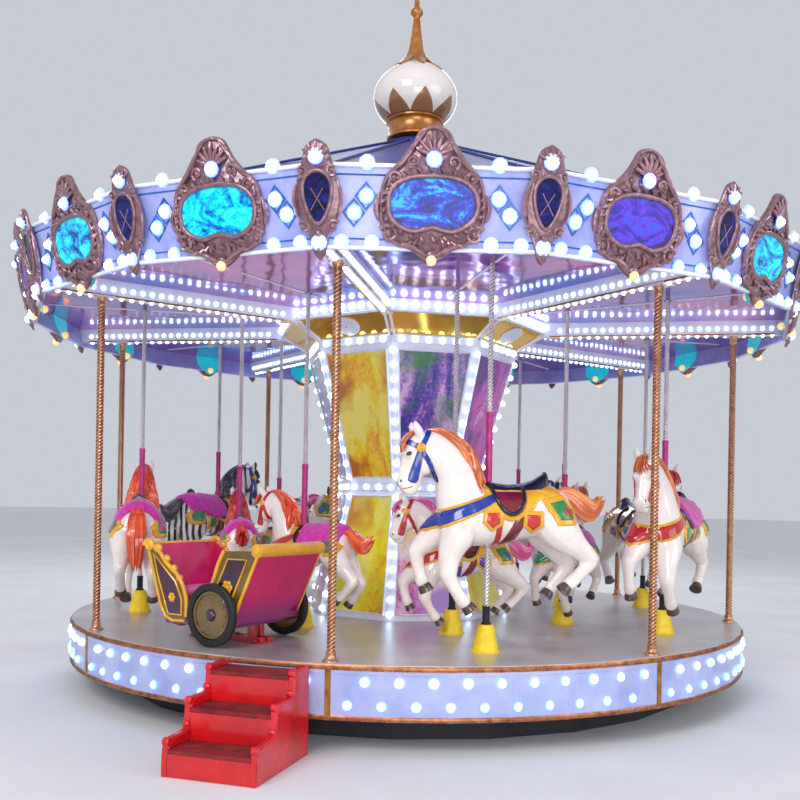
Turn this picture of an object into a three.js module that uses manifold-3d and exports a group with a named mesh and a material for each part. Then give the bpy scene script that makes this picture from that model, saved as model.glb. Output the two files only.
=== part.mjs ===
// Fairground carousel for fifteen horses and one chariot, in millimetres, +Z up, origin on the ground under its axis.
// A low base carries a slewing deck. The deck carries the posts, the centre casing, the beams, the roof and the crown.
import * as THREE from "three";
import { mergeVertices } from "three/addons/utils/BufferGeometryUtils.js";
import Module from "manifold-3d";

const wasm = await Module();
wasm.setup();

// Driving dimensions
const BAYS = 8;
const BAY = (2 * Math.PI) / BAYS;
const HALF_BAY = BAY / 2;
const SEAT_GAP = 0.3;

const DECK_TOP = 557;
const DECK_THICK = 60;
const DECK_RADIUS = 2880;
const SKIRT_BOTTOM = 212;
const SKIRT_THICK = 30;
const BASE_RADIUS = 2450;
const BASE_HEIGHT = 190;
const HUB_RADIUS = 600;

const POST_CIRCLE = 2815;
const POST_RADIUS = 25;
const OUTER_RING = 2347;
const INNER_RING = 1519;

const CASING_BASE_RADIUS = 896;
const WAIST_RADIUS = 616;
const WAIST_BOTTOM = 1630;
const WAIST_HEIGHT = 60;
const CASING_TOP = 2835;
const CASING_TOP_RADIUS = 950;
const CORNICE_FOOT = 2895;
const CORNICE_TOP = 3060;
const CORNICE_RADIUS = 1227;
const HUB_RING_TOP = 3140;

const BEAM_BOTTOM = 3020;
const BEAM_WIDTH = 90;
const CEILING_THICK = 16;

const CROWN_BOTTOM = 2985;
const CROWN_TOP = 3435;
const CROWN_RADIUS = 3245;
const CROWN_LEAN = 0.226;
const BOARD_THICK = 30;
const CARTOUCHE_PROUD = 42;
const SHIELD_PROUD = 34;

const ROOF_RIM = 3390;
const ROOF_RIM_HEIGHT = 30;
const ROOF_SHELL = 26;
const ROOF_PEAK = 4812;
const MAST_RADIUS = 90;
const COLLAR_RADIUS = 252;
const COLLAR_TOP = 5000;
const DOME_TOP = 5560;
const SPIRE_TOP = 6300;

const ROD_RADIUS = 20;
const ROD_SIDES = 8;
const SLEEVE_RADIUS = 29;
const SLEEVE_LENGTH = 640;
const ROD_HEAD = 3300;
const ROD_FOOT = 440;
const CUP_FOOT_RADIUS = 87;
const CUP_TOP_RADIUS = 50;
const CUP_HEIGHT = 175;
const CEILING_HOLE_RADIUS = 30;

const paint = (color, roughness = 0.45, metalness = 0) =>
  new THREE.MeshStandardMaterial({ color, roughness, metalness });
const steelDark = paint("#33363c", 0.6, 0.6);
const deckPlate = paint("#9a9aa2", 0.45, 0.8);
const skirtBlue = paint("#8c9ed6", 0.4);
const whiteFrame = paint("#e9ecf4", 0.35);
const goldMirror = paint("#d9a21f", 0.12, 0.9);
const pictureWarm = paint("#e5b52c", 0.4);
const silver = paint("#c9cfde", 0.25, 0.7);
const ceilingPink = paint("#b48fd0", 0.12, 0.8);
const roofBlue = paint("#1c2b86", 0.7);
const crownLilac = paint("#a9a4cf", 0.45);
const finialGold = paint("#d98a2b", 0.35, 0.3);
const domeWhite = paint("#efe6df", 0.25);
const brass = paint("#c79a6a", 0.3, 0.9);
const stepRed = paint("#d3141c", 0.4);
const chariotPink = paint("#e21b74", 0.3);
const tyreBlack = paint("#1b1b1d", 0.8);
const coatWhite = paint("#efe4da", 0.3);

// Solids from three.js geometry
function solidOf(geometry) {
  const bare = geometry.index ? geometry.toNonIndexed() : geometry.clone();
  bare.deleteAttribute("normal");
  bare.deleteAttribute("uv");
  const merged = mergeVertices(bare, 1e-3);
  const mesh = new wasm.Mesh({
    numProp: 3,
    vertProperties: new Float32Array(merged.attributes.position.array),
    triVerts: new Uint32Array(merged.index.array),
  });
  return new wasm.Manifold(mesh);
}

function geometryOf(solid) {
  const mesh = solid.getMesh();
  const stride = mesh.numProp;
  const positions = new Float32Array(mesh.numVert * 3);
  for (let i = 0; i < mesh.numVert; i++) {
    positions.set(mesh.vertProperties.subarray(i * stride, i * stride + 3), i * 3);
  }
  return new THREE.BufferGeometry()
    .setAttribute("position", new THREE.BufferAttribute(positions, 3))
    .setIndex(new THREE.BufferAttribute(new Uint32Array(mesh.triVerts), 1));
}

const joined = (solids) => solids.reduce((whole, next) => whole.add(next));

// A right prism or frustum about +Z with a vertex at angle `turn` from +X.
function frustum(sides, bottomRadius, topRadius, bottom, top, turn = 0) {
  const height = top - bottom;
  return new THREE.CylinderGeometry(topRadius, bottomRadius, height, sides)
    .rotateX(Math.PI / 2)
    .rotateZ(turn + Math.PI / 2)
    .translate(0, 0, bottom + height / 2);
}

function block(x0, x1, y0, y1, z0, z1) {
  return new THREE.BoxGeometry(x1 - x0, y1 - y0, z1 - z0).translate(
    (x0 + x1) / 2,
    (y0 + y1) / 2,
    (z0 + z1) / 2,
  );
}

// A tapered round bar between two points.
function limb(from, to, fromRadius, toRadius, sides) {
  const start = new THREE.Vector3(...from);
  const end = new THREE.Vector3(...to);
  const along = end.clone().sub(start);
  const turn = new THREE.Quaternion().setFromUnitVectors(
    new THREE.Vector3(0, 1, 0),
    along.clone().normalize(),
  );
  const middle = start.clone().add(end).multiplyScalar(0.5);
  return new THREE.CylinderGeometry(toRadius, fromRadius, along.length(), sides)
    .applyQuaternion(turn)
    .translate(middle.x, middle.y, middle.z);
}

function ellipsoid(centre, radii, around, down) {
  return new THREE.SphereGeometry(1, around, down)
    .scale(...radii)
    .translate(...centre);
}

// A closed profile of [radius, height] pairs turned about +Z.
function turned(profile, sides, turn = 0) {
  const points = profile.map(([radius, height]) => new THREE.Vector2(radius, height));
  return new THREE.LatheGeometry(points, sides, turn + Math.PI / 2).rotateX(Math.PI / 2);
}

const carousel = new THREE.Group();
function place(name, geometry, material, parent = carousel) {
  const mesh = new THREE.Mesh(geometry, material);
  mesh.name = name;
  parent.add(mesh);
  return mesh;
}

// Azimuth 0 is the front bay, towards -Y. A positive azimuth goes towards +X.
const angleOf = (azimuth) => azimuth - Math.PI / 2;
const frontBay = (bay) => bay * BAY;
const beamAt = (bay) => bay * BAY + HALF_BAY;

// A group whose own +X is the riding direction and whose +Y points to the axis.
function onRing(azimuth, radius, height) {
  const group = new THREE.Group();
  group.position.set(radius * Math.sin(azimuth), -radius * Math.cos(azimuth), height);
  group.rotation.z = azimuth + Math.PI;
  carousel.add(group);
  return group;
}

// Riders: ring radius, size and rest height of each horse, bay by bay
const OUTER_MEAN = 1330;
const OUTER_REST = [120, 20, -30, -120, 50, -20, -80];
const INNER_MEAN = 1180;
const INNER_REST = [-60, -50, 80, 30, -80, -90, -20, -20];
const INNER_SCALE = 0.78;
const CHARIOT_BAY = 7;

const riders = [
  ...OUTER_REST.map((rest, bay) => ({
    name: `horse_outer_${bay + 1}`,
    azimuth: frontBay(bay),
    radius: OUTER_RING,
    height: OUTER_MEAN + rest,
    rest,
    scale: 1,
  })),
  ...INNER_REST.map((rest, bay) => ({
    name: `horse_inner_${bay + 1}`,
    azimuth: frontBay(bay),
    radius: INNER_RING,
    height: INNER_MEAN + rest,
    rest,
    scale: INNER_SCALE,
  })),
];

const spotOf = (rider) => [
  rider.radius * Math.sin(rider.azimuth),
  -rider.radius * Math.cos(rider.azimuth),
];

// Base and slewing deck
function makeBase() {
  const drum = solidOf(frustum(24, BASE_RADIUS, BASE_RADIUS, 0, BASE_HEIGHT));
  const hub = solidOf(
    frustum(24, HUB_RADIUS, HUB_RADIUS, BASE_HEIGHT - 1, DECK_TOP - DECK_THICK - SEAT_GAP),
  );
  place("base_frame", geometryOf(drum.add(hub)), steelDark);
}

function makeDeck() {
  const sides = 48;
  let deck = solidOf(
    frustum(sides, DECK_RADIUS, DECK_RADIUS, DECK_TOP - DECK_THICK, DECK_TOP),
  );
  for (const rider of riders) {
    const [x, y] = spotOf(rider);
    const cup = frustum(
      12,
      CUP_FOOT_RADIUS,
      CUP_TOP_RADIUS,
      DECK_TOP - 1,
      DECK_TOP + CUP_HEIGHT,
    ).translate(x, y, 0);
    deck = deck.add(solidOf(cup));
  }
  for (const rider of riders) {
    const [x, y] = spotOf(rider);
    const boreRadius = ROD_RADIUS + 0.5;
    const bore = frustum(
      ROD_SIDES,
      boreRadius,
      boreRadius,
      DECK_TOP - DECK_THICK - 10,
      DECK_TOP + CUP_HEIGHT + 10,
      rider.azimuth,
    ).translate(x, y, 0);
    deck = deck.subtract(solidOf(bore));
  }
  place("deck", geometryOf(deck), deckPlate);

  const skirtTop = DECK_TOP - DECK_THICK - SEAT_GAP;
  const skirt = turned(
    [
      [DECK_RADIUS - SKIRT_THICK, SKIRT_BOTTOM],
      [DECK_RADIUS, SKIRT_BOTTOM],
      [DECK_RADIUS, skirtTop],
      [DECK_RADIUS - SKIRT_THICK, skirtTop],
      [DECK_RADIUS - SKIRT_THICK, SKIRT_BOTTOM],
    ],
    sides,
  );
  place("deck_skirt", skirt, skirtBlue);
}

// Centre casing: two tapered octagons that meet at a waist, under a gold mirror cornice
function makeCasing() {
  const corner = angleOf(HALF_BAY);
  const octagon = (bottomRadius, topRadius, bottom, top) =>
    solidOf(frustum(BAYS, bottomRadius, topRadius, bottom, top, corner));
  const waistTop = WAIST_BOTTOM + WAIST_HEIGHT;
  const lower = octagon(
    CASING_BASE_RADIUS,
    WAIST_RADIUS,
    DECK_TOP + SEAT_GAP,
    WAIST_BOTTOM + 1,
  ).add(octagon(WAIST_RADIUS + 12, WAIST_RADIUS + 12, WAIST_BOTTOM, waistTop));
  place("casing_lower", geometryOf(lower), pictureWarm);

  const upper = octagon(
    WAIST_RADIUS,
    CASING_TOP_RADIUS,
    waistTop + SEAT_GAP,
    CASING_TOP + 1,
  ).add(
    octagon(
      CASING_TOP_RADIUS + 14,
      CASING_TOP_RADIUS + 14,
      CASING_TOP,
      CORNICE_FOOT - SEAT_GAP,
    ),
  );
  place("casing_upper", geometryOf(upper), pictureWarm);

  const cornice = octagon(CASING_TOP_RADIUS, CORNICE_RADIUS, CORNICE_FOOT, CORNICE_TOP);
  place("cornice", geometryOf(cornice), goldMirror);

  const ring = octagon(
    CORNICE_RADIUS,
    CORNICE_RADIUS,
    CORNICE_TOP + SEAT_GAP,
    HUB_RING_TOP,
  );
  place("hub_ring", geometryOf(ring), silver);

  const grown = SEAT_GAP / Math.cos(HALF_BAY) + 0.2;
  return octagon(
    CASING_TOP_RADIUS + grown,
    CORNICE_RADIUS + grown,
    CORNICE_FOOT,
    CORNICE_TOP + 0.1,
  ).add(
    octagon(
      CORNICE_RADIUS + grown,
      CORNICE_RADIUS + grown,
      CORNICE_TOP,
      HUB_RING_TOP + 10,
    ),
  );
}

const crownFace = (height) => CROWN_RADIUS + (height - CROWN_BOTTOM) * CROWN_LEAN;
const crownBack = (height) => crownFace(height) - BOARD_THICK * 1.03;

// Everything inside the crown's sixteen leaning boards, less the seating gap
function insideCrown(bottom, top) {
  return solidOf(
    frustum(
      2 * BAYS,
      crownBack(bottom) - SEAT_GAP - 0.1,
      crownBack(top) - SEAT_GAP - 0.1,
      bottom,
      top,
      angleOf(0),
    ),
  );
}

function makeBeams(centre) {
  const within = insideCrown(BEAM_BOTTOM - 20, HUB_RING_TOP + 20);
  for (let bay = 0; bay < BAYS; bay++) {
    const bar = block(
      CORNICE_RADIUS - 150,
      crownFace(HUB_RING_TOP) + 50,
      -BEAM_WIDTH / 2,
      BEAM_WIDTH / 2,
      BEAM_BOTTOM,
      HUB_RING_TOP,
    ).rotateZ(angleOf(beamAt(bay)));
    const beam = solidOf(bar).intersect(within).subtract(centre);
    place(`beam_${bay + 1}`, geometryOf(beam), silver);

    const x = POST_CIRCLE * Math.sin(beamAt(bay));
    const y = -POST_CIRCLE * Math.cos(beamAt(bay));
    const foot = frustum(
      12,
      POST_RADIUS * 1.9,
      POST_RADIUS * 1.5,
      DECK_TOP + SEAT_GAP,
      DECK_TOP + 30,
    );
    const shaft = frustum(
      12,
      POST_RADIUS,
      POST_RADIUS,
      DECK_TOP + 20,
      BEAM_BOTTOM - SEAT_GAP,
    );
    const post = solidOf(foot).add(solidOf(shaft));
    const mesh = place(`post_${bay + 1}`, geometryOf(post), brass);
    mesh.position.set(x, y, 0);
  }
}

function makeCeiling() {
  const bottom = HUB_RING_TOP + SEAT_GAP;
  const top = bottom + CEILING_THICK;
  let plate = insideCrown(bottom, top);
  for (const rider of riders) {
    const [x, y] = spotOf(rider);
    const hole = frustum(
      12,
      CEILING_HOLE_RADIUS,
      CEILING_HOLE_RADIUS,
      bottom - 10,
      top + 10,
    ).translate(x, y, 0);
    plate = plate.subtract(solidOf(hole));
  }
  place("ceiling", geometryOf(plate), ceilingPink);
  return top;
}

function makeRoof(ceilingTop) {
  const rimTop = ROOF_RIM + ROOF_RIM_HEIGHT;
  const fit = SEAT_GAP + 0.1;
  const innerHole = MAST_RADIUS + SEAT_GAP + 0.2;
  const roof = turned(
    [
      [crownBack(ROOF_RIM) - fit - 40, ROOF_RIM],
      [crownBack(ROOF_RIM) - fit, ROOF_RIM],
      [crownBack(rimTop) - fit, rimTop],
      [innerHole, ROOF_PEAK],
      [innerHole, ROOF_PEAK - ROOF_SHELL * 1.1],
      [crownBack(ROOF_RIM) - fit - 40, ROOF_RIM],
    ],
    2 * BAYS,
    angleOf(0),
  );
  place("roof_canopy", roof, roofBlue);

  const mastTop = ROOF_PEAK + 8;
  place(
    "roof_mast",
    frustum(
      2 * BAYS,
      MAST_RADIUS,
      MAST_RADIUS,
      ceilingTop + SEAT_GAP,
      mastTop,
      angleOf(0),
    ),
    silver,
  );

  const collarFoot = mastTop + SEAT_GAP;
  const collar = turned(
    [
      [0, collarFoot],
      [COLLAR_RADIUS, collarFoot],
      [COLLAR_RADIUS - 14, collarFoot + 30],
      [COLLAR_RADIUS - 14, COLLAR_TOP - 20],
      [COLLAR_RADIUS, COLLAR_TOP],
      [0, COLLAR_TOP],
    ],
    24,
  );
  place("finial_collar", collar, finialGold);

  const dome = turned(
    [
      [0, COLLAR_TOP + SEAT_GAP],
      [262, COLLAR_TOP + SEAT_GAP],
      [330, 5070],
      [369, 5145],
      [379, 5222],
      [362, 5300],
      [310, 5380],
      [232, 5450],
      [150, 5505],
      [98, DOME_TOP],
      [0, DOME_TOP],
    ],
    24,
  );
  place("onion_dome", dome, domeWhite);

  const spireFoot = DOME_TOP + SEAT_GAP;
  const spire = turned(
    [
      [0, spireFoot],
      [96, spireFoot],
      [66, 5680],
      [44, 5830],
      [30, 5945],
      [48, 5970],
      [58, 5998],
      [48, 6026],
      [28, 6048],
      [20, 6160],
      [0, SPIRE_TOP],
    ],
    12,
  );
  place("finial_spire", spire, finialGold);
}

// Crown: sixteen leaning boards, each with a large cartouche, and a shield over every board joint
function cartoucheOutline() {
  const shape = new THREE.Shape();
  shape.moveTo(0, -75);
  shape.quadraticCurveTo(60, -60, 110, -10);
  shape.quadraticCurveTo(330, 60, 302, 230);
  shape.quadraticCurveTo(290, 380, 170, 450);
  shape.quadraticCurveTo(110, 560, 95, 625);
  shape.quadraticCurveTo(60, 680, 0, 680);
  shape.quadraticCurveTo(-60, 680, -95, 625);
  shape.quadraticCurveTo(-110, 560, -170, 450);
  shape.quadraticCurveTo(-290, 380, -302, 230);
  shape.quadraticCurveTo(-330, 60, -110, -10);
  shape.quadraticCurveTo(-60, -60, 0, -75);
  return shape;
}

function shieldOutline() {
  const shape = new THREE.Shape();
  shape.moveTo(0, -70);
  shape.quadraticCurveTo(50, -40, 60, 60);
  shape.quadraticCurveTo(140, 160, 135, 280);
  shape.quadraticCurveTo(120, 420, 85, 470);
  shape.quadraticCurveTo(70, 590, 0, 595);
  shape.quadraticCurveTo(-70, 590, -85, 470);
  shape.quadraticCurveTo(-120, 420, -135, 280);
  shape.quadraticCurveTo(-140, 160, -60, 60);
  shape.quadraticCurveTo(-50, -40, 0, -70);
  return shape;
}

// Stands an outline on the crown's leaning face, proud of it by `proud`.
function onCrown(outline, azimuth, faceRadius, sunk, proud) {
  const tilt = Math.atan(CROWN_LEAN);
  return new THREE.ExtrudeGeometry(outline, {
    depth: sunk + proud,
    bevelEnabled: false,
    curveSegments: 3,
  })
    .translate(0, 0, -sunk)
    .rotateX(Math.PI / 2 + tilt)
    .translate(0, -faceRadius, CROWN_BOTTOM)
    .rotateZ(azimuth);
}

function makeCrown() {
  const boardRing = solidOf(
    frustum(
      2 * BAYS,
      CROWN_RADIUS,
      crownFace(CROWN_TOP),
      CROWN_BOTTOM,
      CROWN_TOP,
      angleOf(0),
    ),
  ).subtract(
    solidOf(
      frustum(
        2 * BAYS,
        crownBack(CROWN_BOTTOM - 10),
        crownBack(CROWN_TOP + 10),
        CROWN_BOTTOM - 10,
        CROWN_TOP + 10,
        angleOf(0),
      ),
    ),
  );
  const flat = Math.cos(HALF_BAY / 2);
  const reach = 4200;
  for (let bay = 0; bay < BAYS; bay++) {
    const middle = frontBay(bay);
    const wedgeShape = new THREE.Shape();
    wedgeShape.moveTo(0, 0);
    wedgeShape.lineTo(reach * Math.sin(-HALF_BAY), -reach * Math.cos(-HALF_BAY));
    wedgeShape.lineTo(0, -reach * 1.2);
    wedgeShape.lineTo(reach * Math.sin(HALF_BAY), -reach * Math.cos(HALF_BAY));
    wedgeShape.closePath();
    const wedge = solidOf(
      new THREE.ExtrudeGeometry(wedgeShape, { depth: 1200, bevelEnabled: false })
        .translate(0, -SEAT_GAP / 2 / Math.sin(HALF_BAY), CROWN_BOTTOM - 300)
        .rotateZ(middle),
    );
    const pieces = [boardRing];
    for (const side of [-0.5, 0.5]) {
      pieces.push(
        solidOf(
          onCrown(
            cartoucheOutline(),
            middle + side * HALF_BAY,
            CROWN_RADIUS * flat,
            BOARD_THICK - 8,
            CARTOUCHE_PROUD,
          ),
        ),
      );
    }
    for (const side of [-1, 0, 1]) {
      pieces.push(
        solidOf(
          onCrown(
            shieldOutline(),
            middle + side * HALF_BAY,
            CROWN_RADIUS,
            BOARD_THICK - 8,
            SHIELD_PROUD,
          ),
        ),
      );
    }
    place(`crown_section_${bay + 1}`, geometryOf(joined(pieces).intersect(wedge)), crownLilac);
  }
}

// A closed body through cross-sections. Each section runs between a top and a bottom point of the side view.
function bodyThrough(sections, sides) {
  const positions = [];
  const index = [];
  for (const { top, bottom, width } of sections) {
    for (let k = 0; k < sides; k++) {
      const turn = ((k + 0.5) * 2 * Math.PI) / sides;
      const share = (1 + Math.cos(turn) / Math.cos(Math.PI / sides)) / 2;
      positions.push(
        bottom[0] + (top[0] - bottom[0]) * share,
        width * Math.sin(turn),
        bottom[1] + (top[1] - bottom[1]) * share,
      );
    }
  }
  const last = sections.length - 1;
  for (let i = 0; i < last; i++) {
    for (let k = 0; k < sides; k++) {
      const a = i * sides + k;
      const b = i * sides + ((k + 1) % sides);
      index.push(a, a + sides, b, b, a + sides, b + sides);
    }
  }
  for (let k = 1; k < sides - 1; k++) {
    index.push(0, k, k + 1);
    index.push(last * sides, last * sides + k + 1, last * sides + k);
  }
  return new THREE.BufferGeometry()
    .setAttribute("position", new THREE.BufferAttribute(new Float32Array(positions), 3))
    .setIndex(index);
}

// A bent limb through points of the side view, with a width at each point
function bentLimb(points, y, sides) {
  const sections = points.map(([x, z, radius], i) => {
    const before = points[Math.max(i - 1, 0)];
    const after = points[Math.min(i + 1, points.length - 1)];
    const run = [after[0] - before[0], after[1] - before[1]];
    const length = Math.hypot(...run);
    const across = [(-run[1] / length) * radius, (run[0] / length) * radius];
    return {
      top: [x + across[0], z + across[1]],
      bottom: [x - across[0], z - across[1]],
      width: radius * 0.85,
    };
  });
  return bodyThrough(sections, sides).translate(0, y, 0);
}

// Horse: trunk, neck and head in one body, with four bent legs, ears and a tail, on its pole and hand sleeve
function makeHorse(rider) {
  const s = rider.scale;
  const section = (topX, topZ, bottomX, bottomZ, width) => ({
    top: [topX * s, topZ * s],
    bottom: [bottomX * s, bottomZ * s],
    width: width * s,
  });
  const trunk = bodyThrough(
    [
      section(-545, 95, -560, 0, 70),
      section(-495, 190, -480, -115, 145),
      section(-390, 222, -370, -165, 172),
      section(-180, 205, -180, -178, 178),
      section(20, 205, 60, -188, 172),
      section(120, 300, 215, -180, 165),
      section(235, 450, 325, 0, 125),
      section(370, 560, 368, 285, 78),
      section(475, 585, 405, 300, 72),
      section(568, 495, 455, 240, 66),
      section(604, 330, 500, 165, 50),
      section(608, 262, 535, 158, 38),
    ],
    8,
  );
  const leg = (points, side) =>
    bentLimb(
      points.map(([x, z, radius]) => [x * s, z * s, radius * s]),
      side * 92 * s,
      6,
    );
  const body = [
    trunk,
    leg([[250, -60, 95], [300, -215, 62], [335, -375, 42], [235, -490, 32], [150, -595, 40]], 1),
    leg([[250, -50, 95], [380, -185, 62], [480, -240, 42], [430, -370, 32], [372, -470, 40]], -1),
    leg([[-400, -30, 120], [-560, -170, 72], [-690, -262, 44], [-600, -370, 34], [-505, -460, 40]], 1),
    leg([[-390, -40, 120], [-520, -200, 72], [-610, -320, 44], [-540, -430, 34], [-470, -540, 40]], -1),
    bentLimb(
      [[-500, 150, 40], [-600, 90, 52], [-690, 50, 60], [-820, 120, 14]].map(
        ([x, z, radius]) => [x * s, z * s, radius * s],
      ),
      0,
      6,
    ),
    limb([455 * s, 45 * s, 545 * s], [470 * s, 52 * s, 640 * s], 26 * s, 5 * s, 5),
    limb([455 * s, -45 * s, 545 * s], [470 * s, -52 * s, 640 * s], 26 * s, 5 * s, 5),
  ];
  const rodTop = ROD_HEAD + rider.rest - rider.height;
  const rodFoot = ROD_FOOT + rider.rest - rider.height;
  const round = (radius, bottom, top) => frustum(ROD_SIDES, radius, radius, bottom, top, -Math.PI);
  body.push(round(SLEEVE_RADIUS, 60 * s, 204 * s + SLEEVE_LENGTH));
  body.push(round(ROD_RADIUS, rodFoot, rodTop));
  const group = onRing(rider.azimuth, rider.radius, rider.height);
  place(rider.name, geometryOf(joined(body.map(solidOf))), coatWhite, group);
}

// Chariot: two benches face to face on a sled floor with a pair of cart wheels
function makeChariot() {
  const group = onRing(frontBay(CHARIOT_BAY), 2290, DECK_TOP);
  const halfWidth = 330;
  const side = 28;
  const backOutline = new THREE.Shape([
    new THREE.Vector2(-235, 140),
    new THREE.Vector2(-200, 170),
    new THREE.Vector2(-470, 650),
    new THREE.Vector2(-505, 630),
  ]);
  const frontOutline = new THREE.Shape([
    new THREE.Vector2(300, 140),
    new THREE.Vector2(330, 140),
    new THREE.Vector2(520, 650),
    new THREE.Vector2(485, 662),
    new THREE.Vector2(270, 170),
  ]);
  const rearSide = new THREE.Shape();
  rearSide.moveTo(-235, 140);
  rearSide.lineTo(-20, 140);
  rearSide.quadraticCurveTo(-40, 380, -190, 640);
  rearSide.lineTo(-490, 650);
  rearSide.closePath();
  const frontSide = new THREE.Shape();
  frontSide.moveTo(140, 140);
  frontSide.lineTo(330, 140);
  frontSide.lineTo(520, 655);
  frontSide.quadraticCurveTo(300, 560, 140, 300);
  frontSide.closePath();
  const across = (shape, y0, y1) =>
    new THREE.ExtrudeGeometry(shape, {
      depth: y1 - y0,
      bevelEnabled: false,
      curveSegments: 4,
    })
      .rotateX(Math.PI / 2)
      .translate(0, y1, 0);
  const pieces = [
    block(-240, 340, -halfWidth, halfWidth, 120, 160),
    across(backOutline, -halfWidth, halfWidth),
    across(frontOutline, -halfWidth, halfWidth),
    across(rearSide, -halfWidth, -halfWidth + side),
    across(rearSide, halfWidth - side, halfWidth),
    across(frontSide, -halfWidth, -halfWidth + side),
    across(frontSide, halfWidth - side, halfWidth),
    block(-300, -70, -halfWidth, halfWidth, 150, 330),
    block(170, 370, -halfWidth, halfWidth, 150, 330),
    limb([-487, -halfWidth, 650], [-487, halfWidth, 650], 42, 42, 10),
    block(-300, 360, -60, -20, SEAT_GAP, 40),
    block(-300, 360, 20, 60, SEAT_GAP, 40),
    block(-220, -180, -60, -20, 30, 130),
    block(-220, -180, 20, 60, 30, 130),
    block(260, 300, -60, -20, 30, 130),
    block(260, 300, 20, 60, 30, 130),
    limb([-140, -halfWidth - 22, 214], [-140, halfWidth + 22, 214], 16, 16, 8),
  ];
  place("chariot_body", geometryOf(joined(pieces.map(solidOf))), chariotPink, group);
  for (const [name, sign] of [
    ["chariot_wheel_inner", 1],
    ["chariot_wheel_outer", -1],
  ]) {
    const near = halfWidth + 22 + SEAT_GAP;
    const wheel = limb([-140, sign * near, 214], [-140, sign * (near + 46), 214], 212, 212, 24);
    place(name, wheel, tyreBlack, group);
  }
}

// Boarding steps: three treads between two notched side panels, standing on the ground
function makeSteps() {
  const azimuth = (-30.4 * Math.PI) / 180;
  const nearDeck = DECK_RADIUS + 12;
  const going = 235;
  const treads = [155, 337, 515];
  const halfWidth = 290;
  const panel = 34;
  const group = new THREE.Group();
  group.rotation.z = azimuth;
  carousel.add(group);
  const outline = new THREE.Shape();
  const front = 3 * going;
  outline.moveTo(0, 0);
  outline.lineTo(front, 0);
  outline.lineTo(front, 215);
  outline.lineTo(2 * going, 215);
  outline.lineTo(2 * going, 395);
  outline.lineTo(going, 395);
  outline.lineTo(going, 545);
  outline.lineTo(0, 550);
  outline.closePath();
  const panelAt = (x0) =>
    new THREE.ExtrudeGeometry(outline, { depth: panel, bevelEnabled: false })
      .rotateX(Math.PI / 2)
      .rotateZ(-Math.PI / 2)
      .translate(x0 + panel, -nearDeck, 0);
  place("step_side_left", panelAt(-halfWidth), stepRed, group);
  place("step_side_right", panelAt(halfWidth - panel), stepRed, group);
  const inner = halfWidth - panel - SEAT_GAP;
  treads.forEach((top, index) => {
    const back = -nearDeck - (2 - index) * going;
    place(
      `step_tread_${index + 1}`,
      block(-inner, inner, back - going + SEAT_GAP, back, 0, top),
      stepRed,
      group,
    );
  });
}

makeBase();
makeDeck();
makeBeams(makeCasing());
makeRoof(makeCeiling());
makeCrown();
riders.forEach(makeHorse);
makeChariot();
makeSteps();

export default carousel;
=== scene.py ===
import math
import bpy
import bmesh
from mathutils import Matrix, Vector
from mathutils.bvhtree import BVHTree


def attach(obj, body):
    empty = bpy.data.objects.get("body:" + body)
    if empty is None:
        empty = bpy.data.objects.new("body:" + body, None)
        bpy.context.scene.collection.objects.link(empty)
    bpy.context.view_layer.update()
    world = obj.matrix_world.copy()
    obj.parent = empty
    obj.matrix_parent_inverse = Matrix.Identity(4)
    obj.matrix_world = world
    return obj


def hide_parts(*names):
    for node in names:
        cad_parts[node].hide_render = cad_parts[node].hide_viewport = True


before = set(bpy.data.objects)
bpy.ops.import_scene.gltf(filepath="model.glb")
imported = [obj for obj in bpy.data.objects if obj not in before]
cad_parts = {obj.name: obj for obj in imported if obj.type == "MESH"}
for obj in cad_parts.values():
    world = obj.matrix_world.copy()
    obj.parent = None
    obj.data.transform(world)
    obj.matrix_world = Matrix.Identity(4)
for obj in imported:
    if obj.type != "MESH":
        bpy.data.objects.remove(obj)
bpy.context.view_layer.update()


# Studio: a pale seamless floor, four large soft lamps (key, fill, rim and a low one in front) and a pale sky.
# The camera stands where the photographer stood, at eye height before the front bay. The Standard view
# transform keeps gloss paint at its full colour.
def srgb(code):
    """A hex colour as linear red, green, blue and alpha."""
    values = [int(code[i:i + 2], 16) / 255 for i in (1, 3, 5)]
    return tuple(v / 12.92 if v <= 0.04045 else ((v + 0.055) / 1.055) ** 2.4 for v in values) + (1.0,)


def add(material, kind, settings=(), links=()):
    """Adds one node. Settings go to its sockets, ramp stops or properties, links come from other outputs."""
    node = material.node_tree.nodes.new(kind)
    for key, value in dict(settings).items():
        if key == "stops":
            ramp = node.color_ramp.elements
            while len(ramp) < len(value):
                ramp.new(0.5)
            for i, (position, code) in enumerate(value):
                ramp[i].position = position
                ramp[i].color = srgb(code)
        elif isinstance(key, int) or key in node.inputs:
            node.inputs[key].default_value = value
        else:
            setattr(node, key, value)
    for key, output in dict(links).items():
        material.node_tree.links.new(node.inputs[key], output)
    return node


def shader_of(material):
    """The material's one shader."""
    return material.node_tree.nodes["Principled BSDF"]


def feed(material, socket, output):
    """Links an output to a socket of the shader."""
    material.node_tree.links.new(shader_of(material).inputs[socket], output)


def surface(name, color, roughness, metallic=0.0, **sockets):
    """A material with one shader, ready for its pattern."""
    material = bpy.data.materials.new(name)
    material.use_nodes = True
    values = {"Base Color": srgb(color), "Roughness": roughness, "Metallic": metallic}
    values.update({key.replace("_", " "): value for key, value in sockets.items()})
    for socket, value in values.items():
        shader_of(material).inputs[socket].default_value = value
    return material


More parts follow.
